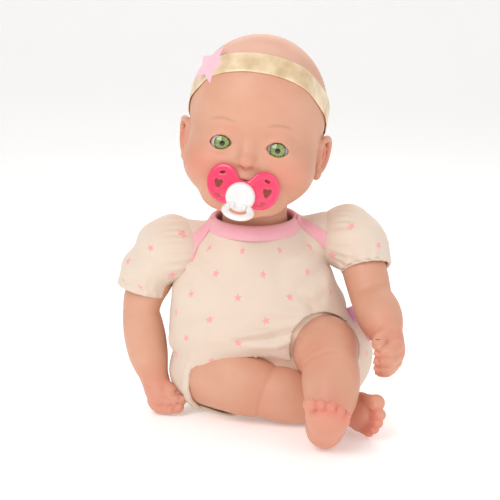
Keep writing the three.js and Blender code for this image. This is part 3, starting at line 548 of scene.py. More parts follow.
def finger(stations, nail_side):
    """A chubby finger whose segments bulge between the joints, and where its nail goes."""
    s = np.array(stations, float)
    shapes = []
    for p, q in zip(s, s[1:]):
        middle = (p + q) / 2
        shapes += [rod(p[:3], q[:3], p[3], q[3]), blob(middle[:3], (middle[3] * 1.06,) * 3)]
    tip, before = s[-1], s[-2]
    ahead = unit(tip[:3] - before[:3])
    side = level_with(nail_side, ahead)
    nail = (tip[:3] + ahead * 1.3 + side * (tip[3] * 0.86), ahead, side, tip[3])
    return together(shapes, 0.9), nail


def carve_nails(clay, nails):
    for centre, ahead, side, size in nails:
        across = np.cross(ahead, side)
        matrix = np.stack([across, ahead, side], 1)
        clay.cut(blob(centre, (size * 0.66, size * 0.78, 0.55), matrix), 0.25)
        clay.add(blob(centre - side * 0.28, (size * 0.56, size * 0.68, 0.55), matrix), 0.15)


ARMS = {
    "right": {
        "limb": [(-69, 0, 84, 12.2), (-75.4, -0.6, 74, 12.2), (-77.6, -1.3, 63.5, 11.4),
                 (-76.6, -1.9, 54, 12.4), (-75.1, -2.8, 45, 12.9), (-73, -4.6, 34, 12),
                 (-70, -7.4, 23, 9), (-68, -9, 17, 8.4)],
        "palm": [((-66.3, -12, 12.2), (8.6, 9.6, 8.0)), ((-63.4, -14.6, 9.4), (7.8, 7.8, 6.8))],
        "fingers": [
            [(-61.5, -17.5, 12.5, 4.3), (-55.5, -21.3, 9.0, 3.9), (-51.5, -22.6, 9.8, 3.4)],
            [(-63.5, -17.8, 8.6, 4.3), (-58.0, -22.6, 5.6, 3.9), (-53.4, -24.4, 5.4, 3.5)],
            [(-66.5, -16.5, 6.6, 4.2), (-62.5, -22, 4.8, 3.8), (-58.6, -24.6, 4.5, 3.4)],
            [(-70.0, -13.5, 6.4, 3.9), (-67.5, -19, 4.8, 3.6), (-64.8, -22.4, 4.1, 3.2)],
        ],
        "nail_side": (0.1, -0.75, 0.65),
        "thumb": [(-63.5, -12.5, 16.6, 4.6), (-58.8, -16.5, 14.6, 4.1), (-55.6, -18.2, 12.2, 3.5)],
        "thumb_nail": (0.3, -0.6, 0.75),
        "creases": [((-77.6, -1.3, 63.5), (0.1, 0.05, 1), 0.9, 1.5, 17),
                    ((-69, -8.3, 19), (0.25, -0.3, 1), 1.1, 1.1, 13)],
        "floor": 0.7,
    },
    "left": {
        "limb": [(61.4, -5.5, 101, 13.4), (65.4, -13, 88, 13.6), (68.4, -21.5, 76, 12.8),
                 (71.6, -31.5, 70, 13.8), (73.6, -40.5, 65.8, 12.8), (75.8, -49.5, 61, 9.4),
                 (76.6, -53, 59.2, 8.8)],
        "palm": [((76.8, -57.4, 56), (9.0, 8.6, 9.2)), ((78.8, -60.4, 51.6), (7.6, 7.6, 8.2))],
        "fingers": [
            [(80.4, -64, 56, 4.4), (75.8, -68.6, 54, 4.2), (70.6, -67.4, 53, 3.6)],
            [(81.0, -63.4, 50.6, 4.4), (76.0, -68.2, 48.6, 4.2), (70.4, -66.6, 47.8, 3.6)],
            [(80.6, -61.2, 45.8, 4.2), (75.8, -66, 43.8, 4.0), (70.8, -64.6, 43, 3.5)],
            [(79.4, -57.8, 42.4, 3.9), (75.6, -62.6, 40.4, 3.6), (71.6, -61.4, 39.6, 3.2)],
        ],
        "nail_side": (-0.5, -0.86, 0.1),
        "thumb": [(73.4, -59, 60.4, 4.6), (70.4, -65, 60.2, 4.3), (69.2, -69, 58.6, 3.6)],
        "thumb_nail": (-0.2, -0.5, 0.84),
        "creases": [((68.4, -21.5, 76), (0.25, -0.8, -0.5), 1.0, 1.5, 18),
                    ((74.4, -51, 60.4), (0.3, -0.85, -0.42), 1.1, 1.1, 13)],
        "floor": None,
    },
}


def make_arm(side):
    arm = ARMS[side]
    every = [s[:3] for s in arm["limb"]] + [s[:3] for f in arm["fingers"] for s in f]
    low, high = np.min(every, axis=0) - 18, np.max(every, axis=0) + 18
    clay = Clay(low, high, 0.62)
    clay.add(together(chain(arm["limb"], 5), 1.0))
    for centre, half in arm["palm"]:
        clay.add(blob(centre, half), 3.5)
    digits, nails = zip(*(finger(stations, arm["nail_side"]) for stations in arm["fingers"]))
    thumb, thumb_nail = finger(arm["thumb"], arm["thumb_nail"])
    clay.add(together(digits, 0.25), 1.1)
    clay.add(thumb, 1.3)
    for crease in arm["creases"]:
        clay.crease(*crease)
    for stations in arm["fingers"]:
        root, middle, tip = (np.array(p[:3]) for p in stations)
        clay.crease(middle, tip - root, 0.3, 0.5, 5.5)
    carve_nails(clay, [*nails, thumb_nail])
    if arm["floor"] is not None:
        clay.cut(slab(low, (high[0], high[1], 2), arm["floor"]), 0.6)
    points, faces = clay.surface(2)
    layers = arm_layers(points, [np.array(f[-1][:3]) for f in arm["fingers"]], arm["palm"][0][0])
    obj = mesh_object(f"{side}_arm_vinyl", points, faces, SKIN, **layers)
    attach(obj, f"{side}_arm")
    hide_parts(f"{side}_arm")


# ---------- legs ----------
LEGS = {
    "right": {
        "limb": [(-34, -13, 25, 20.4), (-23, -22, 25.8, 21.2), (-10, -31, 23.4, 20.2),
                 (2.5, -36, 20, 16.6), (13, -38.4, 18.2, 17.0), (21, -40, 16.6, 15.6),
                 (31, -42, 14.8, 13.4), (38, -43.2, 13.6, 11.8), (42, -43.8, 13.2, 11.6)],
        "heel": ((47, -43.5, 12.6), (11.5, 10.5, 11.9)),
        "foot": [(48, -47, 13.4, 11.2), (56, -57, 14, 9.6), (63, -66, 14.8, 7.4)],
        "ball": ((60, -62.5, 14.2), (8.8, 8.8, 12.6)),
        "ball_turn": ("z", -38),
        "toes": [
            [(62.5, -66, 22.6, 5.0), (68.4, -73.6, 23.4, 5.2)],
            [(64.5, -68.5, 16.2, 3.7), (70.2, -75.8, 16.6, 3.9)],
            [(64, -68.6, 11.3, 3.4), (69.0, -75.2, 11.5, 3.6)],
            [(63, -68, 7.0, 3.1), (67.0, -73.8, 7.2, 3.3)],
            [(61, -66.6, 3.9, 2.7), (64.4, -71.2, 4.1, 2.9)],
        ],
        "nail_side": (-0.72, -0.62, 0.1),
        "creases": [((2.6, -36, 20), (0.93, -0.2, -0.32), 1.6, 1.5, 30),
                    ((41, -43.6, 13.6), (0.95, -0.2, -0.1), 1.2, 1.3, 17)],
    },
    "left": {
        "limb": [(38.2, -16, 41.5, 20.2), (38.5, -30, 46, 20.6), (39.2, -43, 47, 19.4),
                 (40.8, -55, 43.4, 16.8), (41.2, -65, 37.6, 17.2), (41, -76, 30, 16),
                 (39.6, -84, 22.6, 13), (38.2, -88, 18.6, 11.8)],
        "heel": ((36.6, -90.6, 12.6), (10.8, 11.2, 11.8)),
        "foot": [(37, -94.5, 14.4, 10.8), (37.4, -101.5, 19.5, 9.8), (37.8, -106, 25, 8)],
        "ball": ((37.6, -105, 24), (13.4, 8.2, 9.2)),
        "ball_turn": ("y", 10),
        "toes": [
            [(27.8, -106.6, 28, 3.9), (27.0, -110.4, 33.8, 4.1)],
            [(33.5, -107.5, 28, 3.2), (33.2, -111, 33.8, 3.4)],
            [(39.0, -107.5, 26.6, 3.2), (39.1, -111, 32.4, 3.3)],
            [(44.0, -106.3, 24, 3.0), (44.5, -109.8, 29.5, 3.1)],
            [(47.4, -104.5, 21, 2.7), (48.3, -107.8, 25.8, 2.8)],
        ],
        "nail_side": (0.0, 0.86, 0.5),
        "creases": [((36, -60, 40.5), (0.12, -0.78, -0.62), 1.5, 1.5, 30),
                    ((39, -86, 20.6), (0, -0.62, -0.78), 1.2, 1.3, 17)],
    },
}


def make_leg(side):
    leg = LEGS[side]
    every = [s[:3] for s in leg["limb"]] + [t[:3] for toe in leg["toes"] for t in toe]
    low, high = np.min(every, axis=0) - 23, np.max(every, axis=0) + 23
    low[2] = max(low[2], -1.5)
    clay = Clay(low, high, 0.8)
    clay.add(together(chain(leg["limb"], 4), 1.5))
    clay.add(blob(*leg["heel"]), 4)
    clay.add(together(chain(leg["foot"], 3), 1), 4)
    clay.add(blob(*leg["ball"], turn(*leg["ball_turn"])), 4)
    nails, digits = [], []
    for a, b in leg["toes"]:
        root, tip, size = np.array(a[:3]), np.array(b[:3]), b[3]
        ahead = unit(tip - root)
        outward = level_with(leg["nail_side"], ahead)
        digits.append(together([rod(root, tip, a[3] * 0.86, size * 0.9), blob(tip, (size,) * 3)], 1.2))
        nails.append((tip + ahead * size * 0.25 + outward * size * 0.9, ahead, outward, size * 0.95))
    clay.add(together(digits, 0.12), 0.9)
    for crease in leg["creases"]:
        clay.crease(*crease)
    carve_nails(clay, nails)
    clay.cut(slab(low, (high[0], high[1], 2), 0.9), 1.0)
    points, faces = clay.surface(2)
    blush = 0.5 * near(points, leg["ball"][0], 26, 1.0) + 0.45 * near(points, leg["heel"][0], 18, 1.0)
    blush += 0.4 * near(points, leg["creases"][0][0], 24, 1.0)
    deep = 0.2 * near(points, leg["heel"][0], 14, 1.0)
    for _, tip in leg["toes"]:
        blush += 0.4 * near(points, tip[:3], 8, 1.0)
    layers = {"blush": np.clip(blush, 0, 0.8), "deep": deep, "brow": 0 * blush, "lips": 0 * blush}
    obj = mesh_object(f"{side}_leg_vinyl", points, faces, SKIN, **layers)
    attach(obj, f"{side}_leg")
    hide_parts(f"{side}_leg")


# ---------- thin pieces: shells, strips and rings ----------
def normals_of(points, faces):
    a, b, c = (points[faces[:, k]] for k in (0, 1, 2))
    flat = np.cross(b - a, c - a)
    total = np.zeros_like(points)
    for k in range(faces.shape[1]):
        for axis in range(3):
            total[:, axis] += np.bincount(faces[:, k], flat[:, axis], len(points))
    return total / np.maximum(np.linalg.norm(total, axis=1, keepdims=True), 1e-9)


def tidy(points, faces):
    """Drops the points no face uses."""
    used, inverse = np.unique(faces, return_inverse=True)
    return points[used], inverse.reshape(faces.shape)


def rim_of(faces):
    """The edges that only one four-sided face uses, in that face's direction."""
    directed = np.concatenate([faces[:, [k, (k + 1) % 4]] for k in range(4)])
    _, index, counts = np.unique(np.sort(directed, 1), axis=0, return_index=True, return_counts=True)
    return directed[index[counts == 1]]


def walked(path):
    """How far along a path each of its points is."""
    return np.concatenate([[0], np.cumsum(np.linalg.norm(np.diff(path, axis=0), axis=1))])


def trim(points, faces, keep):
    """Cuts a surface where keep(points) turns negative, with a smooth edge."""
    values = keep(points)
    kept = values[faces].mean(1) > 0
    both = np.intersect1d(faces[kept], faces[~kept])
    for _ in range(3):
        at = points[both]
        steps = 0.2 * np.eye(3)
        slope = np.stack([keep(at + step) - keep(at - step) for step in steps], -1) / 0.4
        push = keep(at) / np.maximum((slope**2).sum(-1), 0.3)
        points[both] = at - slope * np.clip(push, -1, 1)[:, None]
    points, faces = tidy(points, faces[kept])
    rim = rim_of(faces)
    on_rim = np.zeros(len(points), bool)
    on_rim[rim.ravel()] = True
    for _ in range(10):
        total, count = np.zeros_like(points), np.zeros((len(points), 1))
        for a, b in ((0, 1), (1, 0)):
            np.add.at(total, rim[:, a], points[rim[:, b]])
            np.add.at(count, rim[:, a], 1)
        points[on_rim] += 0.5 * (total / np.maximum(count, 1) - points)[on_rim]
    return relax(points, faces, 1, 0.4, on_rim), faces


def beyond(centre, axis):
    """How far points are past a plane, and how far from the axis through it."""
    axis = unit(axis)

    def measure(points):
        far = points - array(*centre)
        ahead = far @ axis
        return ahead, np.linalg.norm(far - ahead[:, None] * axis, axis=1)

    return measure


def shell(points, faces, thickness):
    """A skin of some thickness under an open surface, closed round its edges."""
    inner = points - normals_of(points, faces) * thickness
    n = len(points)
    rim = rim_of(faces)
    sides = np.stack([rim[:, 1], rim[:, 0], rim[:, 0] + n, rim[:, 1] + n], 1)
    return np.vstack([points, inner]), np.concatenate([faces, faces[:, ::-1] + n, sides])


def onto(clay, points, offset=0.0, rounds=5):
    """Moves points to the clay's surface, or to an offset from it; gives them with the outward directions."""
    points = np.array(points, float)
    steps = clay.step * np.eye(3)

    def slope(at):
        g = np.stack([clay.at(at + step) - clay.at(at - step) for step in steps], -1)
        return g / np.maximum(np.linalg.norm(g, axis=-1, keepdims=True), 1e-9)

    for _ in range(rounds):
        points = points - slope(points) * (clay.at(points) - offset)[..., None]
    return points, slope(points)


def loft_tube(sections, closed):
    """A tube through sections of equal size: closed to a loop, or with capped ends."""
    sections = np.array(sections)
    rings, n = sections.shape[:2]
    faces = []
    for r in range(rings if closed else rings - 1):
        a, b = r * n, ((r + 1) % rings) * n
        faces += [(a + i, a + (i + 1) % n, b + (i + 1) % n, b + i) for i in range(n)]
    if not closed:
        faces += [tuple(range(n))[::-1], tuple((rings - 1) * n + i for i in range(n))]
    return sections.reshape(-1, 3), faces


def flat_section(width, thick, count=7):
    """Half-round-edged strip outline, as (across, up) pairs, counter-clockwise."""
    x = np.linspace(-0.5, 0.5, count) * (width - thick)
    top = [(v, thick / 2) for v in x[::-1]]
    turns = (0.8, 1.57, 2.35)
    left = [(-width / 2 + thick / 2 - thick / 2 * math.sin(a), thick / 2 * math.cos(a)) for a in turns]
    bottom = [(v, -thick / 2) for v in x]
    right = [(-a, -b) for a, b in left]
    return np.array(top + left + bottom + right)


def strip_on(name, clay, path, widths, thick, material, lift):
    """A strip of cloth that lies on the clay along a path, with a width for each point."""
    base, up = onto(clay, path, lift)
    ahead = np.roll(base, -1, 0) - np.roll(base, 1, 0)
    ahead[0], ahead[-1] = base[1] - base[0], base[-1] - base[-2]
    ahead /= np.linalg.norm(ahead, axis=1, keepdims=True)
    side = np.cross(up, ahead)
    sections, along, across = [], [], []
    walk = walked(base)
    for i, point in enumerate(base):
        outline = flat_section(widths[i], thick)
        spots, ups = onto(clay, point + side[i] * outline[:, :1], lift, 2)
        sections.append(spots + ups * (outline[:, 1:] + thick / 2))
        along += [walk[i]] * len(outline)
        across += list(outline[:, 0])
    points, faces = loft_tube(sections, False)
    return mesh_object(name, points, faces, material, along=along, across=across)


def ring_piece(name, centre, axis, rings, material, wave=0.0, times=0, count=160):
    """A closed loop round an axis, with (radius, height) sections and a radius that waves."""
    axis = unit(axis)
    first = level_with((1, 0, 0), axis)
    second = np.cross(axis, first)
    sections, along, across = [], [], []
    for k in range(count):
        a = 2 * math.pi * k / count
        out = first * math.cos(a) + second * math.sin(a)
        swell = wave * math.sin(times * a)
        sections.append([array(*centre) + out * (r + swell) + axis * h for r, h in rings])
        along += [a * rings[0][0]] * len(rings)
        across += list(np.linspace(-1, 1, len(rings)))
    points, faces = loft_tube(sections, True)
    return mesh_object(name, points, faces, material, along=along, across=across)


# ---------- cloth materials ----------
STAR_ROW, STAR_GAP, STAR_SIZE = 13.7, 32.5, 2.9


def jersey(name, printed=True):
    """Cream cotton jersey with a fine knit and, where printed, small pink stars in staggered rows."""
    s = Shader(name, Roughness=0.92, Sheen_Weight=0.25, Sheen_Roughness=0.5, Subsurface_Weight=0.05,
               Subsurface_Scale=0.002)
    cream = s.mix(s.noise(35, 4), linear(226, 206, 188), linear(232, 215, 199))
    u, v = s.layer("print_u"), s.layer("print_v")
    add, take, times, divide = (
        lambda a, b, kind=kind: s.math(kind, a, b) for kind in ("ADD", "SUBTRACT", "MULTIPLY", "DIVIDE"))
    wales = s.math("SINE", times(u, 2 * math.pi / 0.75))
    courses = s.math("SINE", times(v, 2 * math.pi / 0.6))
    knit = times(add(wales, 1.0), add(courses, 1.2))
    # painted shade: the cloth is darker in the valleys between the knit loops
    colour = s.mix(s.spread(knit, 0, 4, 0.1, 0.0), cream, linear(200, 172, 146))
    if printed:
        row = s.math("FLOOR", add(divide(v, STAR_ROW), 0.5))
        odd = s.math("FLOORED_MODULO", row, 2.0)
        shifted = divide(take(u, times(odd, STAR_GAP / 2)), STAR_GAP)
        column = s.math("FLOOR", add(shifted, 0.5))
        p = times(take(shifted, column), STAR_GAP)
        q = take(v, times(row, STAR_ROW))
        far = s.math("SQRT", add(times(p, p), times(q, q)))
        cell = s.node("ShaderNodeCombineXYZ", {0: row, 1: column, 2: 3.0}).outputs[0]
        random = s.node("ShaderNodeTexWhiteNoise", {"Vector": cell}).outputs["Value"]
        angle = add(s.math("ARCTAN2", p, q), times(take(random, 0.5), 0.7))
        sector = 2 * math.pi / 5
        t = s.math("ABSOLUTE", take(s.math("FLOORED_MODULO", add(angle, sector / 2), sector), sector / 2))
        x, y = times(far, s.math("COSINE", t)), times(far, s.math("SINE", t))
        notch = STAR_SIZE * 0.43
        dx, dy = notch * math.cos(sector / 2) - STAR_SIZE, notch * math.sin(sector / 2)
        inside = s.spread(take(times(take(x, STAR_SIZE), dy), times(y, dx)), 0.12, -0.25)
        pink = s.mix(s.spread(s.noise(900, 2), 0.3, 0.7), linear(238, 150, 158), linear(246, 176, 178))
        colour = s.mix(times(inside, 0.9), colour, pink)
    s.set(Base_Color=colour)
    fine = s.bump(knit, 0.16, 0.00012)
    s.set(Normal=s.bump(s.noise(90, 4), 0.16, 0.0012, fine))
    return s.material


def rib(name, low, high):
    s = Shader(name, Roughness=0.9, Sheen_Weight=0.3, Sheen_Roughness=0.5)
    ribs = s.math("SINE", s.math("MULTIPLY", s.layer("along"), 2 * math.pi / 1.05))
    base = s.mix(s.noise(50, 3), low, high)
    shade = tuple(c * 0.8 for c in low[:3]) + (1,)
    s.set(Base_Color=s.mix(s.spread(ribs, -1, 0.4, 0.28, 0.0), base, shade))
    s.set(Normal=s.bump(ribs, 0.3, 0.00018, s.bump(s.noise(1300, 2), 0.1, 0.0002)))
    return s.material


def satin(name, low, high, streak, metal=0.0, rough=0.34):
    """Ribbon with a directional sheen and soft crinkles across it; its colour runs from a painted shade tone
    to a painted highlight tone along the crinkles.
    """
    s = Shader(name, Roughness=rough, Metallic=metal, Anisotropic=0.7, Sheen_Weight=0.2,
               Specular_IOR_Level=0.7)
    weave = s.math("SINE", s.math("MULTIPLY", s.layer("along"), 2 * math.pi / streak))
    waves = s.noise(75, 3)
    # painted highlight and shade: low is the shaded tone, high the highlight tone, following the crinkle
    # noise
    s.set(Base_Color=s.mix(s.spread(waves, 0.3, 0.7), low, high))
    s.set(Normal=s.bump(weave, 0.1, 0.00006, s.bump(waves, 0.22, 0.0012)))
    return s.material


def plastic(name, low, high, rough=0.22, coat=0.3, glow=0.0):
    s = Shader(name, Roughness=rough, Coat_Weight=coat, Coat_Roughness=0.08, Subsurface_Weight=glow,
               Subsurface_Scale=0.003)
    s.set(Base_Color=s.mix(s.noise(26, 2), low, high))
    s.set(Roughness=s.spread(s.noise(220, 3), 0.3, 0.7, rough * 0.85, rough * 1.2))
    s.set(Normal=s.bump(s.noise(160, 2), 0.04, 0.0004))
    return s.material


def felt(name, low, high):
    s = Shader(name, Roughness=0.96, Sheen_Weight=0.5, Sheen_Roughness=0.6)
    s.set(Base_Color=s.mix(s.noise(420, 4), low, high))
    s.set(Normal=s.bump(s.noise(900, 5, 0.7), 0.4, 0.0003))
    return s.material


JERSEY = jersey("suit_jersey")
PINK_RIB = rib("pink_rib", linear(240, 170, 182), linear(246, 186, 194))
CUFF = jersey("cuff_jersey", False)
SOFT = {
    "body_cloth": felt("body_cloth", linear(240, 214, 192), linear(246, 224, 204)),
    "fibre_filling": felt("fibre_filling", linear(240, 240, 238), linear(250, 250, 249)),
    "nylon": felt("nylon", linear(232, 230, 226), linear(244, 243, 240)),
}


# ---------- the bodysuit ----------
BODY_OUTLINE = array(
    (0, 4.5, 0, 42, 26), (8, 5, 0, 51, 31), (18, 4.5, -1, 56, 34.5), (36, 4, -3, 58, 37),
    (58, -1.5, -5, 54.5, 37), (82, -5, -3, 49.5, 33), (100, -5, 0, 42, 28.5), (109, -5, 1, 34, 26),
    (116, -5, 2, 26.5, 23.5), (126, -5, 2, 24, 22))
SUIT_EASE = 3.0


def outline_at(z):
    """The body's centre and half sizes at a height, smoothed between the given heights."""
    shifts = (-4, -2, 0, 2, 4)
    return [sum(np.interp(z + shift, BODY_OUTLINE[:, 0], BODY_OUTLINE[:, k]) for shift in shifts) / 5
            for k in (1, 2, 3, 4)]


def body_distance(x, y, z):
    cx, cy, w, d = outline_at(z)
    w, d = w + SUIT_EASE, d + SUIT_EASE
    q = (np.abs((x - cx) / w) ** 2.3 + np.abs((y - cy) / d) ** 2.3) ** (1 / 2.3)
    return (q - 1) * (0.35 * w + 0.65 * d)


def print_on_body(points):
    cx, cy, w, d = outline_at(points[:, 2])
    angle = np.arctan2((points[:, 0] - cx) / w, -(points[:, 1] - cy) / d)
    return 54 * angle + 10.6 + (cx + 5) * 0.6, np.minimum(points[:, 2] - 80.5, 2.5 * STAR_ROW)


def ripples(points, normals, folds):
    """Soft ridges (plus) and valleys (minus) along lines, each (points of the line, height, width)."""
    out = np.zeros(len(points))
    for line, height, width in folds:
        line = np.array(line, float)
        steps = [(1 - t) * a + t * b for a, b in zip(line, line[1:]) for t in np.arange(0, 1, 0.1)]
        steps.append(line[-1])
        share = np.sin(math.pi * np.linspace(0.06, 0.94, len(steps))) ** 0.7
        best = np.zeros(len(points))
        for p, part in zip(steps, share):
            far = ((points - p) ** 2) @ array(1, 0.2, 1)
            best = np.maximum(best, part * np.exp(-far / width**2))
        out += height * best
    return points + normals * out[:, None]


CUFFS = {
    "right": {"centre": (-34.4, -12, 24.6), "axis": (0.8, -0.59, -0.09), "radius": 22.0},
    "left": {"centre": (38.4, -24, 43.8), "axis": (0.02, -0.95, 0.3), "radius": 22.0},
}


def suit_edge(points):
    """Positive where the suit's cloth is, negative in its neck and leg openings."""
    ahead, away = beyond((-5, 2, 118.2), (0, -0.09, 1))(points)
    keep = np.maximum(-ahead, away - 28.4)
    for cuff in CUFFS.values():
        ahead, away = beyond(cuff["centre"], cuff["axis"])(points)
        keep = np.minimum(keep, np.maximum(-ahead, away - cuff["radius"] - 0.4))
    return keep


def make_suit():
    clay = Clay((-66, -56, -3), (72, 46, 130), 0.95)
    clay.add((body_distance, array(-64, -48, -2), array(70, 44, 128)))
    clay.add(rod((-24, 1.5, 108), (-46, 1, 107.5), 12.4, 14.5), 5)
    clay.add(rod((15, 1.5, 108.6), (40, 1, 112), 12.6, 15), 5)
    clay.add(rod((-45, 2, 32), (-44, 2, 64), 12.5, 12.5), 6)
    hip = (-37.5, -6, 25)
    clay.add(rod((44, -2, 36), (39.2, -20, 42), 26.5, 22.4), 8)
    clay.cut(blob((-12, -55, 28), (50, 21, 22)), 5)
    belly = [(-53, -13, 47.5, 6), (-39, -29.5, 54.5, 6.5), (-17, -36, 58.5, 6.8), (0, -37, 54.5, 7),
             (9, -36.5, 52.5, 7), (18, -36.5, 57, 6.5), (27, -33, 64, 5)]
    clay.add(together(chain(belly, 3), 1), 6)
    clay.add(rod(hip, CUFFS["right"]["centre"], 22.2, 22.0), 3)
    clay.add(rod((0, -22, 18), (12, -27, 26), 12, 14), 6)
    clay.cut(slab((-66, -56, -3), (72, 46, 1), 0.25), 1.6)
    points, faces = trim(*clay.surface(2), suit_edge)
    folds = [
        ([(34, -32, 64), (24, -38, 69), (10, -41, 72), (-4, -41, 73)], 2.2, 3.8),
        ([(34, -31, 69), (30, -35, 76), (20, -38, 83)], -2.0, 2.8),
        ([(40, -27, 72), (41, -26, 82), (38, -25, 93)], 1.5, 3.2),
        ([(30, -36, 60), (16, -41, 62), (2, -42, 61)], -1.6, 2.8),
        ([(-52, -20, 58), (-36, -36, 64), (-20, -41, 66)], 1.5, 4),
        ([(-50, -20, 50), (-36, -34, 57), (-24, -40, 57)], -1.2, 2.6),
        ([(-51, -18, 92), (-42, -28, 85), (-34, -33, 75)], -1.3, 3.2),
        ([(-50, -16, 98), (-38, -29, 93), (-26, -33, 84)], 1.2, 3.6),
        ([(-44, -14, 108), (-36, -26, 103), (-26, -31, 98)], -0.9, 3),
        ([(32, -12, 110), (22, -27, 104), (10, -32, 101)], 1.0, 3.4),
        ([(42, -14, 98), (33, -29, 92), (22, -36, 87)], -1.4, 3.0),
        ([(44, -14, 92), (38, -27, 84), (30, -35, 80)], 1.2, 3.2),
        ([(-12, -30, 106), (-9, -36, 94), (-12, -40, 82)], 0.9, 5),
        ([(12, -30, 104), (10, -36, 92), (14, -40, 82)], -0.9, 5),
        ([(48, -20, 62), (52, -8, 70), (50, 6, 78)], 1.4, 3.6),
        ([(53, -14, 56), (57, 0, 60), (55, 12, 66)], -1.2, 3.4),
        ([(-56, -12, 40), (-58, 4, 50), (-53, 16, 58)], 1.3, 4),
        ([(-57, -8, 34), (-58, 8, 40), (-53, 20, 46)], -1.2, 3.6),
        ([(-20, 34, 60), (0, 35, 54), (24, 33, 60)], -1.4, 4),
        ([(-34, 30, 84), (-6, 33, 77), (20, 30, 84)], 1.1, 4.5),
        ([(-30, 33, 40), (2, 37, 34), (34, 33, 42)], 1.2, 4.5),
        ([(-17, -43, 53.5), (4, -44, 56), (25, -41, 60)], -2.0, 1.5),
        ([(-19, -43, 58), (2, -44, 60.5), (24, -41, 64.5)], 3.4, 2.2),
        ([(-8, -43, 51), (8, -44, 51.5), (22, -42, 56)], 2.0, 2.4),
        ([(4, -40, 44), (12, -38, 39), (22, -36, 38)], -1.2, 2.4),
        ([(-46, -26, 12), (-42, -28, 26), (-41, -30, 40)], -0.9, 1.8),
    ]
    points = ripples(points, normals_of(points, faces), folds)
    x, z = points[:, 0], points[:, 2]
    sway = 0.35 * np.sin(x * 0.23 + 1.3 * np.sin(z * 0.11)) * np.sin(z * 0.17 + 0.6)
    points = points + normals_of(points, faces) * sway[:, None]
    points[:, 2] = np.maximum(points[:, 2], 0.25)
    u, v = print_on_body(points)
    outer, all_faces = shell(points, faces, 1.2)
    printed = {"print_u": np.tile(u, 2), "print_v": np.tile(v, 2)}
    suit = mesh_object("bodysuit_cloth", outer, all_faces, JERSEY, **printed)
    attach(suit, "torso")
    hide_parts("bodysuit")
    for name, level, material, node in (
        ("body_cover_cloth", -2.4, "body_cloth", "body_cover"),
        ("body_stuffing", -4.4, "fibre_filling", "body_filling"),
    ):
        inside = clay.copy()
        inside.cut(slab((-66, -56, 109), (72, 46, 130), 111, above=True), 2)
        inner, inner_faces = inside.surface(1, level)
        lining = mesh_object(name, inner, inner_faces, SOFT[material])
        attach(lining, "torso")
        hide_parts(node)
    for side, cuff in CUFFS.items():
        r = cuff["radius"]
        rings = [(r + 0.6, -4.0), (r + 1.7, -3.0), (r + 1.7, 0.2), (r + 1.0, 1.4),
                 (r - 0.2, 1.7), (r - 1.1, 0.8), (r - 1.2, -2.8), (r - 0.4, -3.9)]
        band = ring_piece(f"{side}_leg_cuff", cuff["centre"], cuff["axis"], rings, CUFF, 0.25, 14)
        co = np.array([p.co for p in band.data.vertices]) / MM
        u, v = print_on_body(co)
        for key, values in (("print_u", u), ("print_v", v)):
            layer = band.data.attributes.new(key, "FLOAT", "POINT")
            layer.data.foreach_set("value", values.astype(np.float32))
        squeeze = co[:, 2] < 1.0
        for i in np.nonzero(squeeze)[0]:
            band.data.vertices[i].co.z = 1.0 * MM
        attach(band, f"{side}_leg")
        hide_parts(f"{side}_leg_binding")
    return clay


# ---------- sleeves ----------
SLEEVES = {
    "right": {
        "shoulder": (-56, 1, 103), "ball": 20.6, "inward": (1, 0.1, 0.05),
        "hem": (-77.2, -0.4, 77.6), "hem_axis": (-0.27, -0.02, -0.96), "hem_radius": 14.2,
        "puff": [((-60, 0, 104), (21, 21.5, 19.6)), ((-70.5, -0.5, 91), (16.6, 17.5, 13))],
        "print_shift": (4, 3),
    },
    "left": {
        "shoulder": (53.5, 1, 111), "ball": 20.4, "inward": (-1, 0.1, 0.05),
        "hem": (65.4, -11, 94), "hem_axis": (0.16, -0.5, -0.85), "hem_radius": 14.3,
        "puff": [((57, -1, 109), (20.2, 21, 17.6)), ((64, -8, 100), (15.4, 17, 11.5))],
        "print_shift": (-9, 8),
    },
}


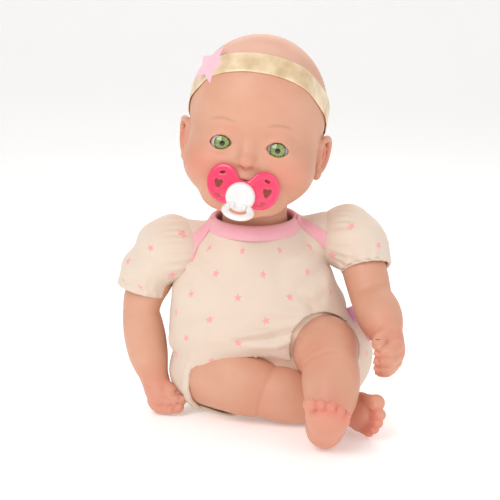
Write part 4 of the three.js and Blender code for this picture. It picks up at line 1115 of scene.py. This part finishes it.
def make_sleeve(side):
    """A puffed sleeve, gathered at the armhole and drawn in to a turned hem, over a stuffed upper arm."""
    form = SLEEVES[side]
    shoulder, hem, axis = array(*form["shoulder"]), array(*form["hem"]), unit(form["hem_axis"])
    radius = form["hem_radius"]
    clay = Clay(np.minimum(shoulder, hem) - 32, np.maximum(shoulder, hem) + 30, 0.9)
    clay.add(blob(shoulder, (form["ball"],) * 3))
    for centre, half in form["puff"]:
        clay.add(blob(centre, half), 4)
    clay.add(rod(hem - axis * 12, hem + axis * 6, radius + 2.4, radius + 0.2), 4)
    inward = unit(form["inward"])

    def edge(at):
        past_hem = beyond(hem, axis)(at)[0]
        deep, away = beyond(shoulder, inward)(at)
        return np.minimum(-past_hem, np.maximum(8 - deep, away - 14))

    points, faces = trim(*clay.surface(2), edge)
    normals = normals_of(points, faces)
    rel = points - shoulder
    down = unit(hem - shoulder)
    deep = rel @ inward
    up = unit(np.cross(inward, down))
    third = np.cross(up, inward)
    round_it = np.arctan2(rel @ up, rel @ third)
    along = rel @ down
    gathers = 0.55 * np.sin(26 * round_it + 2 * np.sin(3 * round_it))
    pucker = np.exp(-(((deep - 1) / 6.5) ** 2)) * gathers
    far = points - hem
    tail = np.exp(-((far @ axis) / 7) ** 2)
    first = unit(np.cross(axis, (0, 1, 0)))
    second = np.cross(axis, first)
    swirl = np.arctan2(far @ first, far @ second)
    pucker += tail * 0.4 * np.sin(15 * swirl + np.sin(4 * swirl))
    folds = 0.45 * np.sin(along * 0.32 + 2.2 * np.sin(round_it * 2 + 0.5))
    pucker += folds * np.exp(-((deep + 10) / 16) ** 2)
    points = points + normals * pucker[:, None]
    spread = np.arctan2(far @ second, -(far @ first)) * 19
    shift_u, shift_v = form["print_shift"]
    printed = {"print_u": np.tile(spread + shift_u, 2), "print_v": np.tile(far @ axis + shift_v, 2)}
    skin, all_faces = shell(points, faces, 1.0)
    sleeve = mesh_object(f"{side}_sleeve_cloth", skin, all_faces, JERSEY, **printed)
    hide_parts(f"{side}_sleeve")
    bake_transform(sleeve)
    rings = [(1.0, -4.0), (1.7, -3.2), (1.7, 0.3), (1.1, 1.2), (0.1, 1.2), (-0.6, 0.2), (-0.6, -2.8),
             (0.1, -3.8)]
    rings = [(radius + r, h) for r, h in rings]
    turned = ring_piece(f"{side}_sleeve_hem", hem, axis, rings, CUFF, 0.3, 15)
    for key in ("print_u", "print_v"):
        zeros = np.zeros(len(turned.data.vertices), np.float32)
        turned.data.attributes.new(key, "FLOAT", "POINT").data.foreach_set("value", zeros)
    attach(turned, f"{side}_upper_arm")
    inside = Clay(np.minimum(shoulder, hem) - 24, np.maximum(shoulder, hem) + 24, 1.2)
    inside.add(blob(shoulder, (17.5, 17.5, 17.5)))
    inside.add(rod(shoulder, hem - axis * 6, 15, 12.8), 6)
    lining = mesh_object(f"{side}_upper_arm_lining", *inside.surface(2), SOFT["body_cloth"])
    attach(lining, f"{side}_upper_arm")
    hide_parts(f"{side}_upper_arm_cloth")
    knot = [(13.4, -0.9), (14.2, -0.6), (14.4, 0), (14.2, 0.6), (13.4, 0.9), (13.0, 0)]
    tie = ring_piece(f"{side}_upper_arm_tie", hem - axis * 7, axis, knot, SOFT["nylon"])
    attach(tie, f"{side}_upper_arm")
    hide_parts(f"{side}_arm_tie")


def make_bindings(suit):
    """The rib round the neck, and the rib edges of the lapped shoulders."""
    centre = array(-5, 1.6, 121)
    axis = unit((0, math.sin(math.radians(-5)), math.cos(math.radians(-5))))
    rings = [(30.8, -3.6), (30.8, -1.9), (29.8, 0.8), (28.2, 3.2), (26.6, 4.2), (25.2, 4.0), (24.4, 2.6),
             (25.6, -0.2), (27.2, -2.6), (28.8, -4.4), (30.0, -4.7)]
    neck = ring_piece("neck_rib", centre, axis, rings, PINK_RIB)
    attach(neck, "torso")
    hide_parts("neckline_binding")
    laps = {
        "right": [(-30, -2, 121), (-35.5, -8, 119), (-41, -13.5, 113), (-45, -16.5, 107), (-48.5, -17, 100)],
        "left": [(20, -2, 122), (26.5, -7.5, 121), (32.5, -12, 117.5), (37.5, -14, 113.5), (42, -14, 108.5)],
    }
    for side, line in laps.items():
        line = np.array(line, float)
        t = np.linspace(0, len(line) - 1, 26)
        path = np.stack([np.interp(t, range(len(line)), line[:, k]) for k in range(3)], 1)
        for _ in range(6):
            path[1:-1] = (path[:-2] + path[1:-1] + path[2:]) / 3
        widths = np.linspace(6.6, 8.2, len(path))
        lap = strip_on(f"{side}_shoulder_rib", suit, path, widths, 1.5, PINK_RIB, lift=-0.5)
        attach(lap, "torso")


# ---------- pacifier ----------
PACIFIER_MATRIX = HEAD_MATRIX @ turn("y", 4)
PACIFIER_CENTRE = from_head(MOUTH + array(0, -5.6, 0))
RING_HINGE = array(-14.42, -57.07, 141.38)


def from_pacifier(points):
    return np.asarray(points) @ PACIFIER_MATRIX.T + PACIFIER_CENTRE


def to_pacifier(point):
    return (array(*point) - PACIFIER_CENTRE) @ PACIFIER_MATRIX


def circle(x, z, cx, cz, rx, rz=None):
    rz = rx if rz is None else rz
    q = np.sqrt(((x - cx) / rx) ** 2 + ((z - cz) / rz) ** 2)
    return (q - 1) * min(rx, rz)


def segment(x, z, ax, az, bx, bz, r):
    wx, wz = bx - ax, bz - az
    t = np.clip(((x - ax) * wx + (z - az) * wz) / (wx * wx + wz * wz), 0, 1)
    return np.sqrt((x - ax - t * wx) ** 2 + (z - az - t * wz) ** 2) - r


def shield_outline(x, z):
    d = np.full(np.broadcast(x, z).shape, 99.0)
    for side in (-1, 1):
        upper, lower = circle(x, z, side * 12.6, 1.2, 9.8, 11.6), circle(x, z, side * 9.5, -2.0, 9.2, 9.0)
        lobe = soft_min(upper, lower, 2)
        d = soft_min(d, lobe, 2.5)
    return soft_min(d, circle(x, z, 0, -1.8, 8, 6.9), 2.0)


def vents(x, z):
    """A heart and two slots through each wing of the shield."""
    d = 99.0
    for side in (-1, 1):
        for half in (-1.35, 1.35):
            d = np.minimum(d, segment(x, z, side * 15.0 + half, 1.6, side * 15.0, -1.3, 1.25))
        d = np.minimum(d, segment(x, z, side * 13.0, 7.6, side * 14.6, 7.0, 0.85))
        d = np.minimum(d, segment(x, z, side * 13.0, -7.2, side * 14.6, -6.6, 0.85))
    return d


def sheet_clay(low, high, step, distance):
    """Clay filled from one distance over the whole block."""
    clay = Clay(low, high, step)
    x, y, z = clay.axes
    clay.d[:] = distance(x[:, None, None], y[None, :, None], z[None, None, :])
    return clay


def make_pacifier():
    hot = plastic("hot_pink_plastic", linear(238, 52, 96), linear(246, 72, 112), 0.2, 0.5, 0.12)
    white = plastic("white_plastic", linear(236, 232, 230), linear(243, 240, 238), 0.3, 0.3, 0.1)

    def shield(x, y, z):
        bend = (x**2 + z**2) / (2 * 62)
        outline = shield_outline(x, z)
        half = 1.05 + 0.35 * np.exp(-(((outline + 1.5) / 1.1) ** 2)) * (y - bend < 0)
        plate = np.abs(y - bend) - half
        rounded = -soft_min(-outline, -plate, 0.9)
        return -soft_min(-rounded, vents(x, z), 0.5)

    clay = sheet_clay((-25, -4, -15), (25, 9, 16), 0.42, shield)
    points, faces = clay.surface(1)
    plate = mesh_object("pacifier_shield_plate", from_pacifier(points), faces, hot)
    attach(plate, "pacifier")
    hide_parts("pacifier_shield")

    def knob(x, y, z):
        z = z + 4.6
        far = np.sqrt(x**2 + z**2)
        outer = far - (9.0 - 0.045 * (y + 3) ** 2)
        d = -soft_min(-outer, -(np.abs(y + 4.0) - 3.6), 2.4)
        dish = np.sqrt(x**2 + (y + 13.4) ** 2 + z**2) - 7.4
        d = -soft_min(-d, dish, 1.2)
        tabs = np.maximum(np.abs(np.abs(x) - 3.6) - 1.1, np.abs(y + 8.0) - 1.8)
        return soft_min(d, np.maximum(tabs, np.abs(z + 5.2) - 1.6), 1.2)

    clay = sheet_clay((-12, -13, -17), (12, 3, 8), 0.42, knob)
    points, faces = clay.surface(1)
    button = mesh_object("pacifier_button", from_pacifier(points), faces, white)
    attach(button, "pacifier")
    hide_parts("pacifier_knob")

    hinge = to_pacifier(RING_HINGE)
    droop = math.radians(24)

    def handle(x, y, z):
        x, y, z = x - hinge[0], y - hinge[1] - 1.6, z - hinge[2] - 0.4
        along, up = -y * math.cos(droop) - z * math.sin(droop), z * math.cos(droop) - y * math.sin(droop)
        far = np.sqrt((x / 1.08) ** 2 + (along - 7.0) ** 2)
        return np.sqrt(((far - 7.0) / 1.3) ** 2 + up**2) - 1.7

    clay = sheet_clay(hinge + array(-13, -20, -12), hinge + array(13, 5, 8), 0.42, handle)
    points, faces = clay.surface(1)
    ring = mesh_object("pacifier_handle", from_pacifier(points), faces, white)
    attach(ring, "pacifier_ring")
    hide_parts("pacifier_ring")
    return white


# ---------- headband and star ----------
SKULL, SKULL_REACH = array(0, 2, 3), 47


def make_headband(head):
    gold = satin("gold_satin", linear(214, 182, 138), linear(252, 230, 196), 0.5, 0.12, 0.3)
    normal = unit((0, math.sin(math.radians(36)), math.cos(math.radians(36))))
    first = array(1, 0, 0)
    second = np.cross(normal, first)
    angles = 2 * math.pi * np.arange(220)[:, None] / 220
    base = SKULL + (first * np.cos(angles) + second * np.sin(angles)) * SKULL_REACH
    for _ in range(5):
        base, up = onto(head, base, 0.0, 2)
        base -= ((base - SKULL) @ normal)[:, None] * normal
    walk = walked(base)
    sections, along, across = [], [], []
    wide, thick = 13.6, 0.75
    for i, point in enumerate(base):
        outline = flat_section(wide, thick, 9)
        ripple = 0.22 * math.sin(walk[i] * 0.35) * math.sin(walk[i] * 0.11 + 1)
        lie = (up[i] - normal * (up[i] @ normal)) / np.linalg.norm(up[i] - normal * (up[i] @ normal))
        spots = point + normal * outline[:, :1]
        high, _ = onto(head, spots, 0.0, 2)
        lift = np.maximum((high - point) @ lie, 0)[:, None] * 0.8
        height = thick / 2 + 0.25 + lift * 0.9 + ripple * (outline[:, :1] / wide)
        sections.append(spots + lie * (outline[:, 1:] + height))
        along += [walk[i]] * len(outline)
        across += list(outline[:, 0])
    points, faces = loft_tube(sections, True)
    band = mesh_object("headband_ribbon", from_head(points), faces, gold, along=along, across=across)
    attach(band, "headband")
    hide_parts("headband")

    pink = felt("pink_felt", linear(240, 178, 194), linear(247, 200, 210))
    out = unit((-0.62, -0.6, 0.5))
    seat, _ = onto(head, (SKULL + out * SKULL_REACH)[None], 0.0)
    seat = seat[0] + out * 1.9
    level = unit(np.cross(normal, out))
    steep = np.cross(out, level)

    def star(x, y, z):
        far, angle = np.sqrt(x * x + z * z), np.arctan2(x, z)
        sector = 2 * math.pi / 5
        t = np.abs((angle + sector / 2) % sector - sector / 2)
        px, pz = far * np.cos(t), far * np.sin(t)
        big, notch = 14.4, 7.1
        dx, dz = notch * math.cos(sector / 2) - big, notch * math.sin(sector / 2)
        edge = ((px - big) * dz - pz * dx) / math.hypot(dx, dz)
        return -soft_min(-(edge + 0.1), -(np.abs(y + 0.012 * (x * x + z * z)) - 0.8), 0.7)

    clay = sheet_clay((-16, -5, -16), (16, 4, 16), 0.45, lambda x, y, z: star(x, -y - 1, z))
    points, faces = clay.surface(1)
    spin = turn("y", -44)
    placed = (points @ spin.T) @ np.stack([level, -out, steep], 0) + seat
    piece = mesh_object("headband_felt_star", from_head(placed), faces, pink)
    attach(piece, "headband")
    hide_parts("headband_star")


# ---------- side label ----------
def make_label():
    lilac = satin("pink_satin", linear(226, 160, 200), linear(244, 196, 222), 0.4, 0.0, 0.4)
    top, low = array(54.5, -9, 67), array(71, -12, 47.5)
    sections, along, across = [], [], []
    for t in np.linspace(0, 1, 24):
        middle = top + (low - top) * t + array(2.4, 0, 0) * math.sin(math.pi * t)
        wide = flat_section(15.5, 0.9, 7)
        way = unit((0.82, -0.35, 0.5))
        up = unit(np.cross(unit(low - top), way))
        wavy = wide[:, 1:] + 0.5 * np.sin(wide[:, :1] * 0.5 + 3 * t)
        sections.append(middle + way * wide[:, :1] * 0.62 + up * wavy)
        along += [t * 22] * len(wide)
        across += list(wide[:, 0])
    points, faces = loft_tube(sections, False)
    label = mesh_object("side_label_satin", points, faces, lilac, along=along, across=across)
    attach(label, "torso")
    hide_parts("side_label")


# ---------- pieces carried over from the CAD model ----------
def finish_cad(white):
    """Each CAD node that no visual piece replaces keeps its shape and gets a procedural material."""
    cloth, filling, nylon = SOFT["body_cloth"], SOFT["fibre_filling"], SOFT["nylon"]
    grey = plastic("grey_plastic", linear(120, 120, 124), linear(138, 138, 142), 0.5, 0.0)
    board = plastic("circuit_board", linear(28, 96, 58), linear(44, 122, 72), 0.4, 0.2)
    wrap = plastic("battery_wrap", linear(52, 60, 84), linear(74, 84, 112), 0.3, 0.3)
    steel = plastic("steel", linear(176, 178, 182), linear(206, 208, 210), 0.25, 0.0)
    steel.node_tree.nodes["Principled BSDF"].inputs["Metallic"].default_value = 1.0
    rules = [("filling", filling), ("pellet", filling), ("box", grey), ("door", grey), ("screw", steel),
             ("contact", steel), ("battery_", wrap), ("board", board), ("speaker", grey), ("snap", white),
             ("button", grey), ("switch", grey), ("strip", nylon), ("tie", nylon), ("eye_cup", white),
             ("mouth_socket", SKIN), ("teat", white), ("cloth", cloth), ("cover", cloth), ("plug", cloth),
             ("flap", JERSEY)]
    for name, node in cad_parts.items():
        chosen = next((m for key, m in rules if key in name), None)
        if chosen is None:
            continue
        node.data.materials.clear()
        node.data.materials.append(chosen)


# ---------- camera, lights and floor ----------
def make_stage():
    camera = bpy.data.objects.new("camera", bpy.data.cameras.new("camera"))
    bpy.context.scene.collection.objects.link(camera)
    target = Vector((-8, -20, 106.7)) * MM
    camera.location = Vector((-8, -1096, 335.4)) * MM
    camera.rotation_euler = (target - camera.location).to_track_quat("-Z", "Y").to_euler()
    camera.data.lens = 126.7
    camera.data.sensor_width = 36
    camera.data.clip_start = 0.01
    bpy.context.scene.camera = camera

    for name, place, size, power in (
        ("key", (-420, -620, 720), 0.6, 4.2),
        ("fill", (620, -560, 380), 0.8, 1.6),
        ("back", (60, 520, 640), 0.7, 2.2),
    ):
        light = bpy.data.objects.new(name, bpy.data.lights.new(name, "AREA"))
        light.data.size = size
        light.data.energy = power
        light.location = Vector(place) * MM
        aim = Vector((0, 0, 100)) * MM - light.location
        light.rotation_euler = aim.to_track_quat("-Z", "Y").to_euler()
        bpy.context.scene.collection.objects.link(light)
    world = bpy.data.worlds.new("studio")
    world.use_nodes = True
    world.node_tree.nodes["Background"].inputs[0].default_value = (1, 1, 1, 1)
    world.node_tree.nodes["Background"].inputs[1].default_value = 0.55
    bpy.context.scene.world = world
    bpy.context.scene.view_settings.view_transform = "Standard"

    s = Shader("floor", Roughness=0.6)
    s.set(Base_Color=s.mix(s.noise(9), linear(246, 245, 243), linear(250, 249, 248)))
    s.skin.inputs["Emission Color"].default_value = (1, 1, 1, 1)
    s.skin.inputs["Emission Strength"].default_value = 0.22
    wide, front, back, bend, tall = 3000, -2500, 900, 500, 3500
    profile = [(front, 0), (back, 0)]
    curve = np.linspace(0.1, math.pi / 2, 16)
    profile += [(back + bend * math.sin(a), bend - bend * math.cos(a)) for a in curve]
    profile.append((back + bend, tall))
    corners = [(x, y, z - 0.2) for y, z in profile for x in (-wide, wide)]
    strips = [(2 * k, 2 * k + 1, 2 * k + 3, 2 * k + 2) for k in range(len(profile) - 1)]
    mesh_object("floor", corners, strips, s.material)


make_stage()
head_clay = make_head()
make_eyes()
make_headband(head_clay)
suit_clay = make_suit()
make_bindings(suit_clay)
for which in ("right", "left"):
    make_arm(which)
    make_leg(which)
    make_sleeve(which)
make_label()
finish_cad(make_pacifier())
